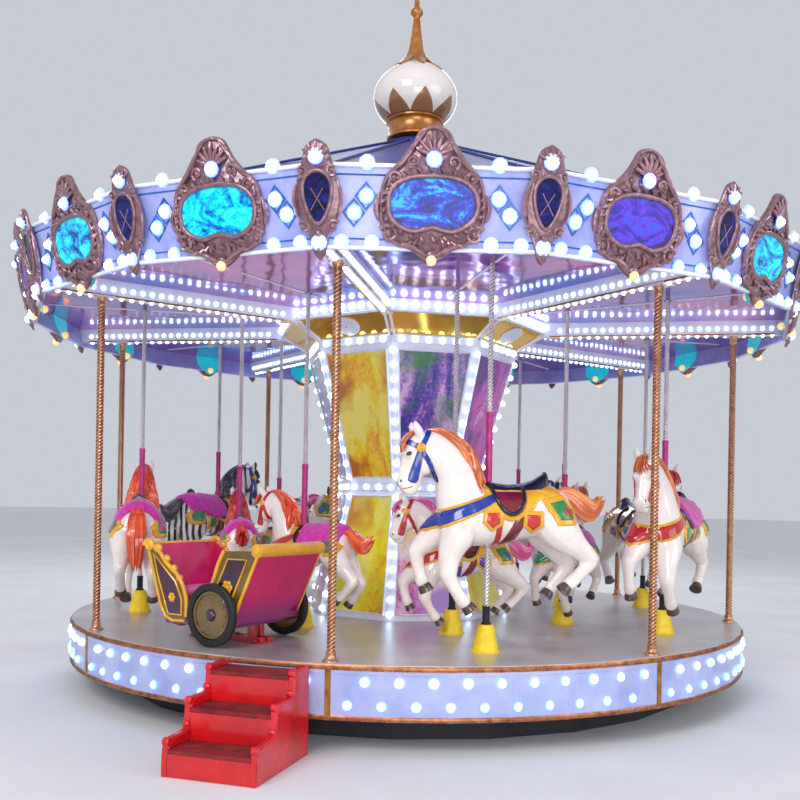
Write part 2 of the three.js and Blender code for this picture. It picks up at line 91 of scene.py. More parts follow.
def mottled(material, dark, light, size, bump=0.0, bump_size=None, rough=None):
    """Colour that drifts between two tones over `size` metres, with a fine relief."""
    place = add(material, "ShaderNodeTexCoord")
    cloud = add(material, "ShaderNodeTexNoise", {"Scale": 1 / size, "Detail": 6.0, "Roughness": 0.6},
                {"Vector": place.outputs["Object"]})
    tone = add(material, "ShaderNodeValToRGB", {"stops": ((0.3, dark), (0.7, light))},
               {"Fac": cloud.outputs["Fac"]})
    feed(material, "Base Color", tone.outputs["Color"])
    if rough:
        span = add(material, "ShaderNodeMapRange", {"To Min": rough[0], "To Max": rough[1]},
                   {"Value": cloud.outputs["Fac"]})
        feed(material, "Roughness", span.outputs["Result"])
    if bump:
        grain = add(material, "ShaderNodeTexNoise", {"Scale": 1 / (bump_size or size / 6), "Detail": 3.0},
                    {"Vector": place.outputs["Object"]})
        relief = add(material, "ShaderNodeBump", {"Strength": bump, "Distance": 0.002},
                     {"Height": grain.outputs["Fac"]})
        feed(material, "Normal", relief.outputs["Normal"])
    return material


class Shape:
    """The points and faces of one piece, gathered before it becomes a mesh."""

    def __init__(self):
        self.points = []
        self.faces = []
        self.finishes = []

    def skin(self, rows, finish=0, around=False, along=False, capped=False):
        """Faces over rows of points. Around closes every row, along joins the last row to the first and
        capped closes both ends."""
        start = len(self.points)
        wide = len(rows[0])
        for row in rows:
            self.points.extend(Vector(p) for p in row)
        for i in range(len(rows) if along else len(rows) - 1):
            j = (i + 1) % len(rows)
            for k in range(wide if around else wide - 1):
                n = (k + 1) % wide
                self.faces.append((start + i * wide + k, start + i * wide + n,
                                   start + j * wide + n, start + j * wide + k))
                self.finishes.append(finish)
        if capped:
            last = start + (len(rows) - 1) * wide
            self.faces.append(tuple(range(start, start + wide)))
            self.faces.append(tuple(range(last + wide - 1, last - 1, -1)))
            self.finishes += [finish, finish]
        return self

    def turned(self, profile, sides, finish=0, matrix=None):
        """A profile of radius and height turned about +Z."""
        rows = []
        for radius, height in profile:
            row = [Vector((radius * math.cos(2 * math.pi * k / sides),
                           radius * math.sin(2 * math.pi * k / sides), height)) for k in range(sides)]
            rows.append([matrix @ p for p in row] if matrix else row)
        return self.skin(rows, finish, around=True)

    def tube(self, path, radii, sides, finish=0, closed=False, flat=1.0):
        """A bar along a path. Flat squashes its section."""
        path = [Vector(p) for p in path]
        if not isinstance(radii, (list, tuple)):
            radii = [radii] * len(path)
        count = len(path)
        rows = []
        across = None
        for i, point in enumerate(path):
            ahead = path[(i + 1) % count] if closed or i + 1 < count else path[i]
            behind = path[i - 1] if closed or i else path[0]
            along = (ahead - behind).normalized()
            if across is None:
                across = along.orthogonal().normalized()
                if abs(along.z) < 0.9:
                    across = along.cross(Vector((0, 0, 1))).normalized()
            across = (across - along * across.dot(along)).normalized()
            up = along.cross(across)
            row = []
            for k in range(sides):
                a = 2 * math.pi * k / sides
                row.append(point + across * (radii[i] * math.cos(a)) + up * (radii[i] * flat * math.sin(a)))
            rows.append(row)
        return self.skin(rows, finish, around=True, along=closed, capped=not closed)

    def ball(self, centre, radii, finish=0, around=10, down=6):
        """An ellipsoid."""
        if not isinstance(radii, (list, tuple)):
            radii = (radii,) * 3
        centre = Vector(centre)
        rows = []
        for i in range(down + 1):
            phi = math.pi * (i * 0.98 + 0.01 * down) / down
            rows.append([centre + Vector((radii[0] * math.sin(phi) * math.cos(2 * math.pi * k / around),
                                          radii[1] * math.sin(phi) * math.sin(2 * math.pi * k / around),
                                          radii[2] * math.cos(phi))) for k in range(around)])
        return self.skin(rows, finish, around=True, capped=True)

    def slab(self, outline, back, front, finish=0, edge=0.0):
        """A flat outline in x and y with thickness in z, its front edge rounded in by `edge`."""
        middle = Vector((sum(x for x, _ in outline), sum(y for _, y in outline))) / len(outline)
        profile = [(0, back), (0, front)]
        if edge:
            profile = [(0, back), (0, front - edge), (0.7, front - edge * 0.3), (1, front)]
        rows = []
        for share, height in profile:
            row = []
            for x, y in outline:
                out = Vector((x, y)) - middle
                spot = middle + out * (1 - edge * share / max(out.length, 1e-6))
                row.append(Vector((spot.x, spot.y, height)))
            rows.append(row)
        return self.skin(rows, finish, around=True, capped=True)

    def box(self, low, high, finish=0, matrix=None):
        """A block between two corners."""
        ring = [(low[0], low[1]), (high[0], low[1]), (high[0], high[1]), (low[0], high[1])]
        rows = [[Vector((x, y, z)) for x, y in ring] for z in (low[2], high[2])]
        if matrix:
            rows = [[matrix @ p for p in row] for row in rows]
        return self.skin(rows, finish, around=True, capped=True)

    def moved(self, matrix, start=0):
        """Moves the points gathered since `start`."""
        for i in range(start, len(self.points)):
            self.points[i] = matrix @ self.points[i]
        return self

    def copied(self, matrix):
        """The same shape in another place."""
        other = Shape()
        other.points = [matrix @ p for p in self.points]
        other.faces = self.faces
        other.finishes = self.finishes
        return other

    def make(self, name, finishes, body, replaced=(), smooth=35, bevel=0.0, slot=None):
        """Turns the gathered faces into a piece on one moving body."""
        mesh = bpy.data.meshes.new(name)
        mesh.from_pydata([tuple(p) for p in self.points], [], self.faces)
        for finish in finishes:
            mesh.materials.append(finish)
        mesh.polygons.foreach_set("material_index", self.finishes)
        shell = bmesh.new()
        shell.from_mesh(mesh)
        bmesh.ops.recalc_face_normals(shell, faces=shell.faces)
        shell.to_mesh(mesh)
        shell.free()
        if smooth:
            mesh.shade_smooth()
            mesh.set_sharp_from_angle(angle=math.radians(smooth))
        thing = bpy.data.objects.new(name, mesh)
        bpy.context.scene.collection.objects.link(thing)
        if bevel:
            rounding = thing.modifiers.new("rounding", "BEVEL")
            rounding.width = bevel
            rounding.segments = 2
            rounding.limit_method = "ANGLE"
            rounding.angle_limit = math.radians(40)
        if body:
            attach(thing, body)
        if replaced:
            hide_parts(*replaced)
        return thing


def spun(degrees):
    """A turn about the carousel's axis."""
    return Matrix.Rotation(math.radians(degrees), 4, "Z")


def at(radius, degrees, height):
    """A point on a ring. Zero degrees is the front bay, and more degrees go to the right."""
    a = math.radians(degrees)
    return Vector((radius * math.sin(a), -radius * math.cos(a), height))


def facing(radius, degrees, height):
    """A frame on a ring with +X to the right along the ring, +Y inwards and +Z up."""
    return spun(degrees) @ Matrix.Translation((0, -radius, height))


floor_paint = mottled(surface("seamless_paper", "#e4e4e6", 0.9), "#dededf", "#e9e9ea", 1.4)
floor = Shape().turned([(0, 0), (90, 0)], 96)
floor.make("studio_floor", [floor_paint], None, smooth=0)

camera = bpy.data.objects.new("camera", bpy.data.cameras.new("camera"))
bpy.context.scene.collection.objects.link(camera)
camera.data.sensor_width = 36
camera.data.lens = 41.9
camera.data.shift_y = 0.1218
camera.data.clip_end = 200
camera.matrix_world = (Matrix.Translation((-1.935, -8.277, 1.574))
                       @ Matrix.Rotation(-0.2210, 4, "Z")
                       @ Matrix.Rotation(math.pi / 2, 4, "X")
                       @ Matrix.Rotation(0.0183, 4, "Z"))
bpy.context.scene.camera = camera

for name, spot, size, power in (("key", (-8, -11, 9), 6, 880), ("fill", (9, -10, 5), 7, 340),
                                ("rim", (3, 12, 10), 6, 500), ("front_low", (-1, -12, 1.6), 5, 300)):
    lamp = bpy.data.objects.new(name, bpy.data.lights.new(name, "AREA"))
    bpy.context.scene.collection.objects.link(lamp)
    lamp.data.size = size
    lamp.data.energy = power
    lamp.location = spot
    lamp.rotation_euler = (Vector((0, 0, 2)) - Vector(spot)).to_track_quat("-Z", "Y").to_euler()
sky = bpy.data.worlds.new("studio_sky")
bpy.context.scene.world = sky
sky.use_nodes = True
sky.node_tree.nodes["Background"].inputs["Color"].default_value = srgb("#dfe3ec")
sky.node_tree.nodes["Background"].inputs["Strength"].default_value = 0.78
bpy.context.scene.view_settings.view_transform = "Standard"


# Base: a dark steel drum and slewing hub, welded and sprayed, set back under the deck where it is in shade.
# The frame's own solid stays, in satin chassis paint with a little dust.
def dress(material, *nodes):
    """Puts a finish on solids of the frame that keep their own shape."""
    for node in nodes:
        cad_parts[node].data.materials.clear()
        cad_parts[node].data.materials.append(material)


chassis_paint = mottled(surface("chassis_paint", "#26282d", 0.55, 0.2), "#1d1f24", "#34363d", 0.25, 0.15,
                        rough=(0.45, 0.7))
dress(chassis_paint, "base_frame")


# Deck: aluminium tread plate on the slewing frame, rolled with small raised diamonds and scuffed in patches.
# The diamonds' real pitch is 25 mm, drawn at 45 mm so that they show. A beaded copper-brown strip is nailed
# round the rim, and another round the skirt's foot.
DECK = 0.557
DECK_RADIUS = 2.880
SKIRT_FOOT = 0.212
DIAMOND_PITCH = 0.045
BEADS = 720
tread_plate = mottled(surface("aluminium_tread_plate", "#c9c3c4", 0.32, 0.55), "#b3acae", "#d8d2d2", 0.5,
                      rough=(0.22, 0.45))
place = add(tread_plate, "ShaderNodeTexCoord")
turned_place = add(tread_plate, "ShaderNodeMapping", {"Rotation": (0, 0, math.pi / 4)},
                   {"Vector": place.outputs["Object"]})
studs = add(tread_plate, "ShaderNodeTexVoronoi", {"Scale": 1 / DIAMOND_PITCH, "Randomness": 0.0},
            {"Vector": turned_place.outputs["Vector"]})
stud_edge = add(tread_plate, "ShaderNodeMapRange",
                {"From Min": 0.2, "From Max": 0.3, "To Min": 1.0, "To Max": 0.0},
                {"Value": studs.outputs["Distance"]})
stud_relief = add(tread_plate, "ShaderNodeBump", {"Strength": 0.5, "Distance": 0.003},
                  {"Height": stud_edge.outputs["Result"]})
feed(tread_plate, "Normal", stud_relief.outputs["Normal"])
dress(tread_plate, "deck")

copper_beads = mottled(surface("copper_brown_rope_trim", "#a8663c", 0.35, 0.7), "#7c4526", "#c9855a", 0.05,
                       0.2)
trim = Shape()
for low, high in ((0.515, 0.551), (SKIRT_FOOT, 0.243)):
    beads = []
    for k in range(2 * BEADS):
        degrees = 180 / BEADS * k
        crest = DECK_RADIUS + (0.011 if k % 2 else 0.004)
        beads.append([at(DECK_RADIUS - 0.001, degrees, low), at(crest, degrees, (low + high) / 2),
                      at(DECK_RADIUS - 0.001, degrees, high)])
    trim.skin(beads, along=True)
trim.make("deck_edge_trim", [copper_beads], "turntable", smooth=60, slot="brass_tube")


# Floor cups: moulded yellow plastic cones that cover each pole's bore in the deck, screwed through a foot
# flange, with a black rubber boot on top. The plastic has an even gloss, a little scuffed in patches.
BAY = 45
OUTER_RING = 2.347
INNER_RING = 1.519
CUPS = ([(f"horse_outer_{i + 1}", OUTER_RING, BAY * i) for i in range(7)]
        + [(f"horse_inner_{i + 1}", INNER_RING, BAY * i) for i in range(8)])
cup_plastic = mottled(surface("moulded_yellow_plastic", "#f2d00c", 0.35), "#e6bc08", "#fae024", 0.06, 0.1,
                      rough=(0.28, 0.5))
black_rubber = mottled(surface("black_rubber_boot", "#1a1a1c", 0.7), "#141415", "#252528", 0.04, 0.2)
cups = Shape()
boots = Shape()
for _, radius, degrees in CUPS:
    foot = Matrix.Translation(at(radius, degrees, DECK))
    cups.turned([(0.0225, 0.0), (0.098, 0.0), (0.098, 0.010), (0.090, 0.011), (0.088, 0.012), (0.0555, 0.164),
                 (0.0545, 0.176), (0.050, 0.182), (0.0225, 0.182), (0.0225, 0.0)], 24, matrix=foot)
    for k in range(4):
        screw = Vector((0.094 * math.cos(0.8 + k * 1.57), 0.094 * math.sin(0.8 + k * 1.57), 0.013))
        cups.ball(foot @ screw, (0.005, 0.005, 0.004), around=6, down=4)
    boots.turned([(0.0205, 0.182), (0.034, 0.182), (0.032, 0.192), (0.0245, 0.200), (0.0245, 0.292),
                  (0.0265, 0.296), (0.0265, 0.304), (0.0205, 0.304), (0.0205, 0.182)], 20, matrix=foot)
cups.make("floor_cups", [cup_plastic], "turntable", smooth=30, slot="deck_plate")
boots.make("pole_boots", [black_rubber], "turntable", smooth=40, slot="deck_plate")


# Deck skirt: lilac-blue sprayed steel panels hung from the deck's rim, one to a bay, with brass joint strips.
# Two staggered rows of lamps stand on it, ten to a bay in each, over small discs of blue glass that glow as a
# painted halo round each bulb.
def lamps(name, spots, radius, finish):
    """Glass lamps as one piece."""
    bulbs = Shape()
    around, down = (6, 4) if radius < 0.02 else (8, 5)
    for spot in spots:
        bulbs.ball(spot, radius, around=around, down=down)
    bulbs.make(name, [finish], "turntable", smooth=80, slot="white_metal")


def lit(name, color, glow, strength):
    """Glass over a lit filament."""
    glass = surface(name, color, 0.15, Emission_Color=srgb(glow), Emission_Strength=strength)
    place = add(glass, "ShaderNodeTexCoord")
    drift = add(glass, "ShaderNodeTexNoise", {"Scale": 3.0}, {"Vector": place.outputs["Object"]})
    tone = add(glass, "ShaderNodeValToRGB", {"stops": ((0, color), (1, "#ffffff"))},
               {"Fac": drift.outputs["Fac"]})
    feed(glass, "Base Color", tone.outputs["Color"])
    return glass


cool_lamp = lit("frosted_lamp_cool_white", "#e6f1ff", "#c4e2ff", 5.0)
blue_lamp = lit("frosted_lamp_blue", "#a9d4ff", "#6ab0ff", 3.0)
# The blue collars and discs are no lamps: their glow is a painted halo round the bulbs.
blue_glass_painted_halo = lit("blue_collar_painted_halo", "#2f78f0", "#1464ff", 2.0)
skirt_enamel = mottled(surface("lilac_blue_enamel", "#a3acd8", 0.3, Coat_Weight=0.4), "#8f9bd0", "#b7bee4",
                       0.3, 0.08, rough=(0.25, 0.42))
brown_brass = mottled(surface("brown_brass_trim", "#b07c3e", 0.28, 0.9), "#8e5c28", "#c89450", 0.08, 0.1)
dress(skirt_enamel, "deck_skirt")
strips = Shape()
for bay in range(8):
    strips.box((-0.018, -0.006, 0.0), (0.018, 0.004, 0.29),
               matrix=facing(DECK_RADIUS, BAY * (bay + 0.5), 0.23))
strips.skin([[at(radius, d, z) for radius, z in ((2.879, 0.494), (2.881, 0.496), (2.881, 0.520))]
             for d in range(0, 360, 3)], 1, along=True)
strips.make("skirt_joint_strips", [brown_brass, skirt_enamel], "turntable", smooth=40, slot="blue_panel")

LAMPS_A_BAY = 10
LAMP_PITCH = 4.19
LAMP_RADIUS = 0.028
OUTWARDS = Matrix.Rotation(math.pi / 2, 4, "X")
cool_spots = []
blue_spots = []
discs = Shape()
for bay in range(8):
    for k in range(LAMPS_A_BAY):
        for spots, first, height in ((cool_spots, -18.0, 0.450), (blue_spots, -20.1, 0.305)):
            degrees = BAY * bay + first + LAMP_PITCH * k
            spots.append(at(DECK_RADIUS - 0.002, degrees, height))
            discs.turned([(0.034, 0), (0.031, 0.005), (0, 0.006)], 12,
                         matrix=facing(DECK_RADIUS - 0.001, degrees, height) @ OUTWARDS)
discs.make("skirt_lamp_bases", [blue_glass_painted_halo], "turntable", slot="white_metal")
lamps("skirt_lamps_upper", cool_spots, LAMP_RADIUS, cool_lamp)
lamps("skirt_lamps_lower", blue_spots, LAMP_RADIUS, blue_lamp)


# Centre casing: eight sprayed panels on a steel frame that taper to a waist and flare again to the cornice.
# White mouldings frame a painted panel on each face, and lamps run up every corner and round the waist.
HALF_BAY = math.radians(BAY / 2)


def on_face(bay, low, high, across, up, lift):
    """A point on a casing face. Low and high are (corner radius, height), across and up run over the face."""
    radius = low[0] + (high[0] - low[0]) * up
    height = low[1] + (high[1] - low[1]) * up
    lean = math.atan2(high[0] - low[0], high[1] - low[1])
    return spun(BAY * bay) @ Vector((radius * math.sin(HALF_BAY) * across,
                                     -radius * math.cos(HALF_BAY) - lift * math.cos(lean),
                                     height - lift * math.sin(lean)))


def moulding(bay, low, high, wide, margin, lift):
    """A closed line round a face, at a share of its half width and a margin from its foot and head."""
    corners = [(-wide, margin), (wide, margin), (wide, 1 - margin), (-wide, 1 - margin)]
    return [on_face(bay, low, high, a + (a_next - a) * i / 10, u + (u_next - u) * i / 10, lift)
            for (a, u), (a_next, u_next) in zip(corners, corners[1:] + corners[:1]) for i in range(10)]


def painted_panel(name, tones, size, swirl, tall=0.45, splash=None):
    """Poster paint brushed in soft upright swirls, clear coated, with a splash of one other colour."""
    paint = surface(name, tones[0], 0.28, Coat_Weight=0.5)
    place = add(paint, "ShaderNodeTexCoord")
    brushed = add(paint, "ShaderNodeMapping", {"Scale": (1, 1, tall)}, {"Vector": place.outputs["Object"]})
    drift = add(paint, "ShaderNodeTexNoise",
                {"Scale": 1 / size, "Detail": 8.0, "Roughness": 0.62, "Distortion": swirl},
                {"Vector": brushed.outputs["Vector"]})
    fleck = add(paint, "ShaderNodeTexNoise", {"Scale": 14 / size, "Detail": 3.0},
                {"Vector": place.outputs["Object"]})
    mixed = add(paint, "ShaderNodeMath", {"operation": "MULTIPLY_ADD", 1: 0.22},
                {0: fleck.outputs["Fac"], 2: drift.outputs["Fac"]})
    stops = [(0.45 + 0.26 * i / (len(tones) - 1), code) for i, code in enumerate(tones)]
    tone = add(paint, "ShaderNodeValToRGB", {"stops": stops}, {"Fac": mixed.outputs["Value"]})
    colour = tone.outputs["Color"]
    if splash:
        spread = add(paint, "ShaderNodeTexNoise", {"Scale": 0.9 / size, "Detail": 3.0},
                     {"Vector": place.outputs["Object"]})
        patch = add(paint, "ShaderNodeMapRange", {"From Min": 0.50, "From Max": 0.62, "To Max": 0.9},
                    {"Value": spread.outputs["Fac"]})
        colour = add(paint, "ShaderNodeMixRGB", {"Color2": srgb(splash)},
                     {"Fac": patch.outputs["Result"], "Color1": colour}).outputs["Color"]
    feed(paint, "Base Color", colour)
    return paint


white_enamel = mottled(surface("white_gloss_enamel", "#e8ebf6", 0.25, Coat_Weight=0.3), "#d9ddee", "#f4f5fb",
                       0.2, 0.06)


PICTURES = [
    ("blossom", ["#c8489a", "#e88ac0", "#f6c4da", "#fbe6ea", "#f4d890"], 0.4, 0.8, "#b888e0"),
    ("sun", ["#e8a010", "#fad008", "#fdec08", "#fdf420", "#fdf880"], 0.45, 0.9, "#d88a14"),
    ("meadow", ["#33408e", "#7c50bc", "#bc8ad4", "#dcc4e0", "#c49cd8", "#8a62c0"], 0.42, 1.2, "#3c8a44"),
    ("rose", ["#8a1478", "#c83cac", "#e070c8", "#c060c0", "#f0b0dc"], 0.45, 1.1, "#5a3a9a"),
    ("lagoon", ["#1c3f8a", "#3c78c8", "#7ab4e4", "#cfe0e8", "#f0dca0"], 0.5, 1.0, "#8a5cc8"),
    ("amber", ["#c8740c", "#f0a414", "#fac814", "#fde428", "#fdf06a"], 0.4, 1.0, "#c05a14"),
]
panel_paints = [painted_panel("panel_paint_" + name, tones, size, swirl, splash=splash)
                for name, tones, size, swirl, splash in PICTURES]
LOWER = ((0.896, DECK), (0.616, 1.630))
UPPER = ((0.616, 1.690), (0.950, 2.836))
PANEL_ROWS = 8
casing = Shape()
corner_lamps = []
for bay in range(8):
    for low, high, paint, count in ((*LOWER, 1 + bay % 2, 9), (*UPPER, 3 + bay % 4, 10)):
        for wide, margin, lift, finish in ((1, 0, 0.002, 0), (0.85, 0.05, 0.008, paint)):
            casing.skin([[on_face(bay, low, high, a * wide, margin + (1 - 2 * margin) * u / PANEL_ROWS, lift)
                          for a in (-1, 1)] for u in range(PANEL_ROWS + 1)], finish)
        casing.tube(moulding(bay, low, high, 0.86, 0.045, 0.01), 0.010, 6, 0, closed=True)
        for i in range(count):
            corner_lamps.append(on_face(bay, low, high, -1.0, 0.05 + 0.9 * i / (count - 1), 0.012))
    for low, high, count in (((0.628, 1.632), (0.628, 1.688), 4), ((0.964, 2.836), (0.964, 2.893), 6)):
        casing.skin([[on_face(bay, low, high, a, u, 0.003) for a in (-1, 1)] for u in (0, 1)], 0)
        for i in range(count):
            corner_lamps.append(on_face(bay, low, high, -0.78 + 1.56 * i / (count - 1), 0.5, 0.008))
casing.make("casing_panels", [white_enamel] + panel_paints, "turntable", slot="picture_panel")
dress(white_enamel, "casing_lower", "casing_upper")
lamps("casing_lamps", corner_lamps, 0.025, cool_lamp)


# Cornice: gold-tinted mirror panels that flare out over the casing, in white mouldings, with a white oval
# boss on every other panel. The mirror is acrylic sheet, so it is bright with a slight ripple. Bulbs on the
# white hub ring above shine on it.
gold_mirror = mottled(surface("gold_tinted_acrylic_mirror", "#e8b23c", 0.1, 0.75), "#dca032", "#f8cc66", 0.6,
                      0.12, 0.12)
dress(gold_mirror, "cornice")
CORNICE = ((0.950, 2.895), (1.227, 3.060))
HUB_RING = ((1.227, 3.062), (1.227, 3.138))
frames = Shape()
hub_lamps = []
for bay in range(8):
    frames.tube(moulding(bay, *CORNICE, 0.95, 0.04, 0.006), 0.013, 6, 0, closed=True)
    if bay % 2:
        boss = ((0.30, 0.33, 0.002), (0.30, 0.33, 0.012), (0.26, 0.28, 0.016), (0.02, 0.02, 0.016))
        frames.skin([[on_face(bay, *CORNICE, wide * math.cos(a), 0.5 + tall * math.sin(a), lift)
                      for a in [2 * math.pi * k / 28 for k in range(28)]] for wide, tall, lift in boss], 0,
                    around=True)
    hub_lamps += [on_face(bay, *HUB_RING, -0.9 + 0.2 * i, 0.5, 0.01) for i in range(10)]
frames.make("cornice_mouldings", [white_enamel], "turntable", slot="white_metal")
lamps("hub_ring_lamps", hub_lamps, 0.026, cool_lamp)
dress(white_enamel, "hub_ring")


# Beams: white sprayed box-section arms bolted from the hub ring out to the crown, with lamps along both
# flanks and the underside. A brass moulding runs along the bottom edges, and a bracket joins each beam to
# its post.
BEAM_FOOT = 3.0195
beam_trim = Shape()
beam_lamps = []
for bay in range(8):
    arm = spun(BAY * (bay + 0.5))
    for side in (-1, 1):
        beam_trim.box((side * 0.045 - 0.004, -3.14, 3.016), (side * 0.045 + 0.004, -1.25, 3.028), matrix=arm)
        beam_lamps += [arm @ Vector((side * 0.048, -1.34 - 0.074 * i, 3.072)) for i in range(25)]
    beam_lamps += [arm @ Vector((0, -1.36 - 0.077 * i, 3.018)) for i in range(24)]
    beam_trim.box((-0.06, -2.90, 3.008), (0.06, -2.73, BEAM_FOOT), 1, matrix=arm)
    for x in (-0.04, 0.04):
        for y in (-2.875, -2.755):
            beam_trim.ball(arm @ Vector((x, y, 3.006)), (0.008, 0.008, 0.005), 0, around=6, down=4)
beam_trim.make("beam_mouldings", [brown_brass, white_enamel], "turntable", smooth=30, slot="white_metal")
lamps("beam_lamps", beam_lamps, 0.0175, cool_lamp)
dress(white_enamel, *[f"beam_{i}" for i in range(1, 9)])


# Ceiling: mirror-finish panels in pink, violet and blue, pinned up between the beams with thin bright seams.
# The sheet is thin, so its reflections waver.
ceiling_mirror = surface("violet_mirror_sheet", "#a98ad8", 0.1, 0.85)
place = add(ceiling_mirror, "ShaderNodeTexCoord")
drift = add(ceiling_mirror, "ShaderNodeTexNoise", {"Scale": 1.1, "Detail": 2.0},
            {"Vector": place.outputs["Object"]})
tone = add(ceiling_mirror, "ShaderNodeValToRGB", {"stops": ((0.38, "#5c64c8"), (0.62, "#c470bc"))},
           {"Fac": drift.outputs["Fac"]})
feed(ceiling_mirror, "Base Color", tone.outputs["Color"])
wave = add(ceiling_mirror, "ShaderNodeTexNoise", {"Scale": 5.0, "Detail": 1.0},
           {"Vector": place.outputs["Object"]})
ripple = add(ceiling_mirror, "ShaderNodeBump", {"Strength": 0.25, "Distance": 0.02},
             {"Height": wave.outputs["Fac"]})
feed(ceiling_mirror, "Normal", ripple.outputs["Normal"])
dress(ceiling_mirror, "ceiling")
seams = Shape()
for bay in range(8):
    for near, far in ((1.30, 1.47), (1.57, 2.29), (2.41, 3.12)):
        seams.box((-0.008, -far, 3.134), (0.008, -near, 3.1405), matrix=spun(BAY * bay))
seams.make("ceiling_seams", [white_enamel], "turntable", smooth=0, slot="white_metal")


# Posts: twisted brass-plated tubes that tie the deck's edge to the beams, with a cast foot and a turned
# collar. The plating is bright on the ridges, and the grooves are painted a darker brass as painted shade.
def twisted_rod(x, y, low, high, steps, lobes, radius, ridge, pitch, phase, groove):
    """An upright rod with ridges that wind round it, and a darker finish of its own in their grooves, painted
    shade.
    """
    rod = Shape()
    sides = 3 * lobes
    rows = []
    for i in range(steps + 1):
        z = low + (high - low) * i / steps
        row = []
        for k in range(sides):
            a = 2 * math.pi * k / sides
            out = radius + ridge * math.cos(lobes * a)
            t = a + (z - phase) * 2 * math.pi / pitch
            row.append(Vector((x + out * math.cos(t), y + out * math.sin(t), z)))
        rows.append(row)
    rod.skin(rows, around=True, capped=True)
    rod.finishes[1:sides * steps:3] = [groove] * (lobes * steps)
    return rod


POST_RING = 2.815
post_brass = mottled(surface("twisted_brass_plate", "#c98f68", 0.3, 0.8), "#a46a46", "#dcaa88", 0.05, 0.1)
# The brass for the grooves is darker, as painted shade in them.
brass_in_painted_shade = mottled(surface("brass_groove_painted_shade", "#7c4c30", 0.5, 0.7), "#64391f", "#8c5a3c", 0.05,
                       0.1)
for bay in range(8):
    x, y, _ = at(POST_RING, BAY * (bay + 0.5), 0)
    post = twisted_rod(x, y, DECK + 0.045, 3.0, 480, 4, 0.0255, 0.0020, 0.100, 0.0, 1)
    post.turned([(0.0, 0.0005), (0.052, 0.0005), (0.052, 0.008), (0.044, 0.014), (0.034, 0.024),
                 (0.031, 0.05), (0.034, 0.058), (0.028, 0.066), (0.0, 0.066)], 20,
                matrix=Matrix.Translation((x, y, DECK)))
    post.turned([(0.0, -0.075), (0.029, -0.075), (0.033, -0.06), (0.029, -0.045), (0.034, -0.02),
                 (0.045, -0.001), (0.0, -0.001)], 20, matrix=Matrix.Translation((x, y, BEAM_FOOT)))
    post.make(f"twisted_post_{bay + 1}", [post_brass, brass_in_painted_shade], "turntable", [f"post_{bay + 1}"],
              smooth=60, slot="brass_tube")


# Crown: sixteen leaning fibreglass boards, gel-coated lilac white, bolted to the beams' ends. A white rim and
# a blue line run along the top and bottom, two blue diamonds for lamps fill each gap between the carvings,
# and a translucent teal valance hangs behind each cartouche, its glow painted light.
CROWN_FOOT = 2.985
CROWN_HEAD = 3.435
CROWN_RADIUS = 3.245
LEAN = 0.226
BOARD = 0.030
HALF_BOARD = math.radians(BAY / 4)
LEANING = Matrix.Rotation(math.pi / 2 + math.atan(LEAN), 4, "X")
gel_lilac = mottled(surface("lilac_gel_coat", "#9aa2dc", 0.3, Coat_Weight=0.3), "#828cd0", "#b2b6ea", 0.25,
                    0.1)
line_blue = mottled(surface("blue_line_paint", "#1f4f9e", 0.3), "#173c86", "#2f72c0", 0.1, 0.05)
# The teal back glows though it is no lamp: painted light.
teal_back_painted_glow = mottled(surface("teal_valance_painted_glow", "#19a7b4", 0.3, Emission_Color=srgb("#1cc0d0"),
                            Emission_Strength=0.5), "#0f8f9f", "#2cc6cf", 0.2, 0.1)


def on_crown(degrees, corner=False):
    """The leaning face at an azimuth: x along the board, y up it and z out of it. Corners stand out more."""
    radius = CROWN_RADIUS if corner else CROWN_RADIUS * math.cos(HALF_BOARD)
    return facing(radius, degrees, CROWN_FOOT) @ LEANING


def ring_at(height, inset):
    """Corner radius of the crown's face at a height, less an inset."""
    return CROWN_RADIUS + (height - CROWN_FOOT) * LEAN - inset / math.cos(HALF_BOARD)


for bay in range(8):
    board = Shape()
    span = [BAY * (bay + share) for share in (-0.5, 0, 0.5)]
    section = [(CROWN_FOOT, 0.0), (CROWN_HEAD, 0.0), (CROWN_HEAD, BOARD), (CROWN_FOOT, BOARD)]
    board.skin([[at(ring_at(z, inset), d, z) for z, inset in section] for d in span], around=True,
               capped=True)
    for margin, lift, thick, sides, finish in ((0.006, 0.004, 0.013, 8, 1), (0.055, 0.001, 0.005, 6, 2)):
        for height in (CROWN_FOOT + margin, CROWN_HEAD - margin):
            board.tube([at(ring_at(height, -lift), d, height) for d in span], thick, sides, finish)
    for side in (-1, 1):
        start = len(board.points)
        for gap in (-1, 1):
            for cx, cy in ((0.376, 0.290), (0.444, 0.200)):
                board.skin([[(gap * cx + x * size, cy + y * size * 1.25, z)
                             for x, y in ((1, 0), (0, 1), (-1, 0), (0, -1))]
                            for size, z in ((0.066, 0.0), (0.064, 0.005), (0.052, 0.005), (0.050, 0.0))],
                           2, around=True)
        drop = [(-0.16, 0.16), (-0.15, 0.05), (-0.095, 0.004), (-0.05, -0.034), (0, -0.056), (0.05, -0.034),
                (0.095, 0.004), (0.15, 0.05), (0.16, 0.16)]
        board.slab(drop, -BOARD - 0.008, -BOARD - 0.001, 3)
        board.moved(on_crown(BAY * (bay + side / 4)), start)
    board.make(f"crown_boards_{bay + 1}", [gel_lilac, white_enamel, line_blue, teal_back_painted_glow], "turntable",
               [f"crown_section_{bay + 1}"], smooth=30, slot="crown_paint")
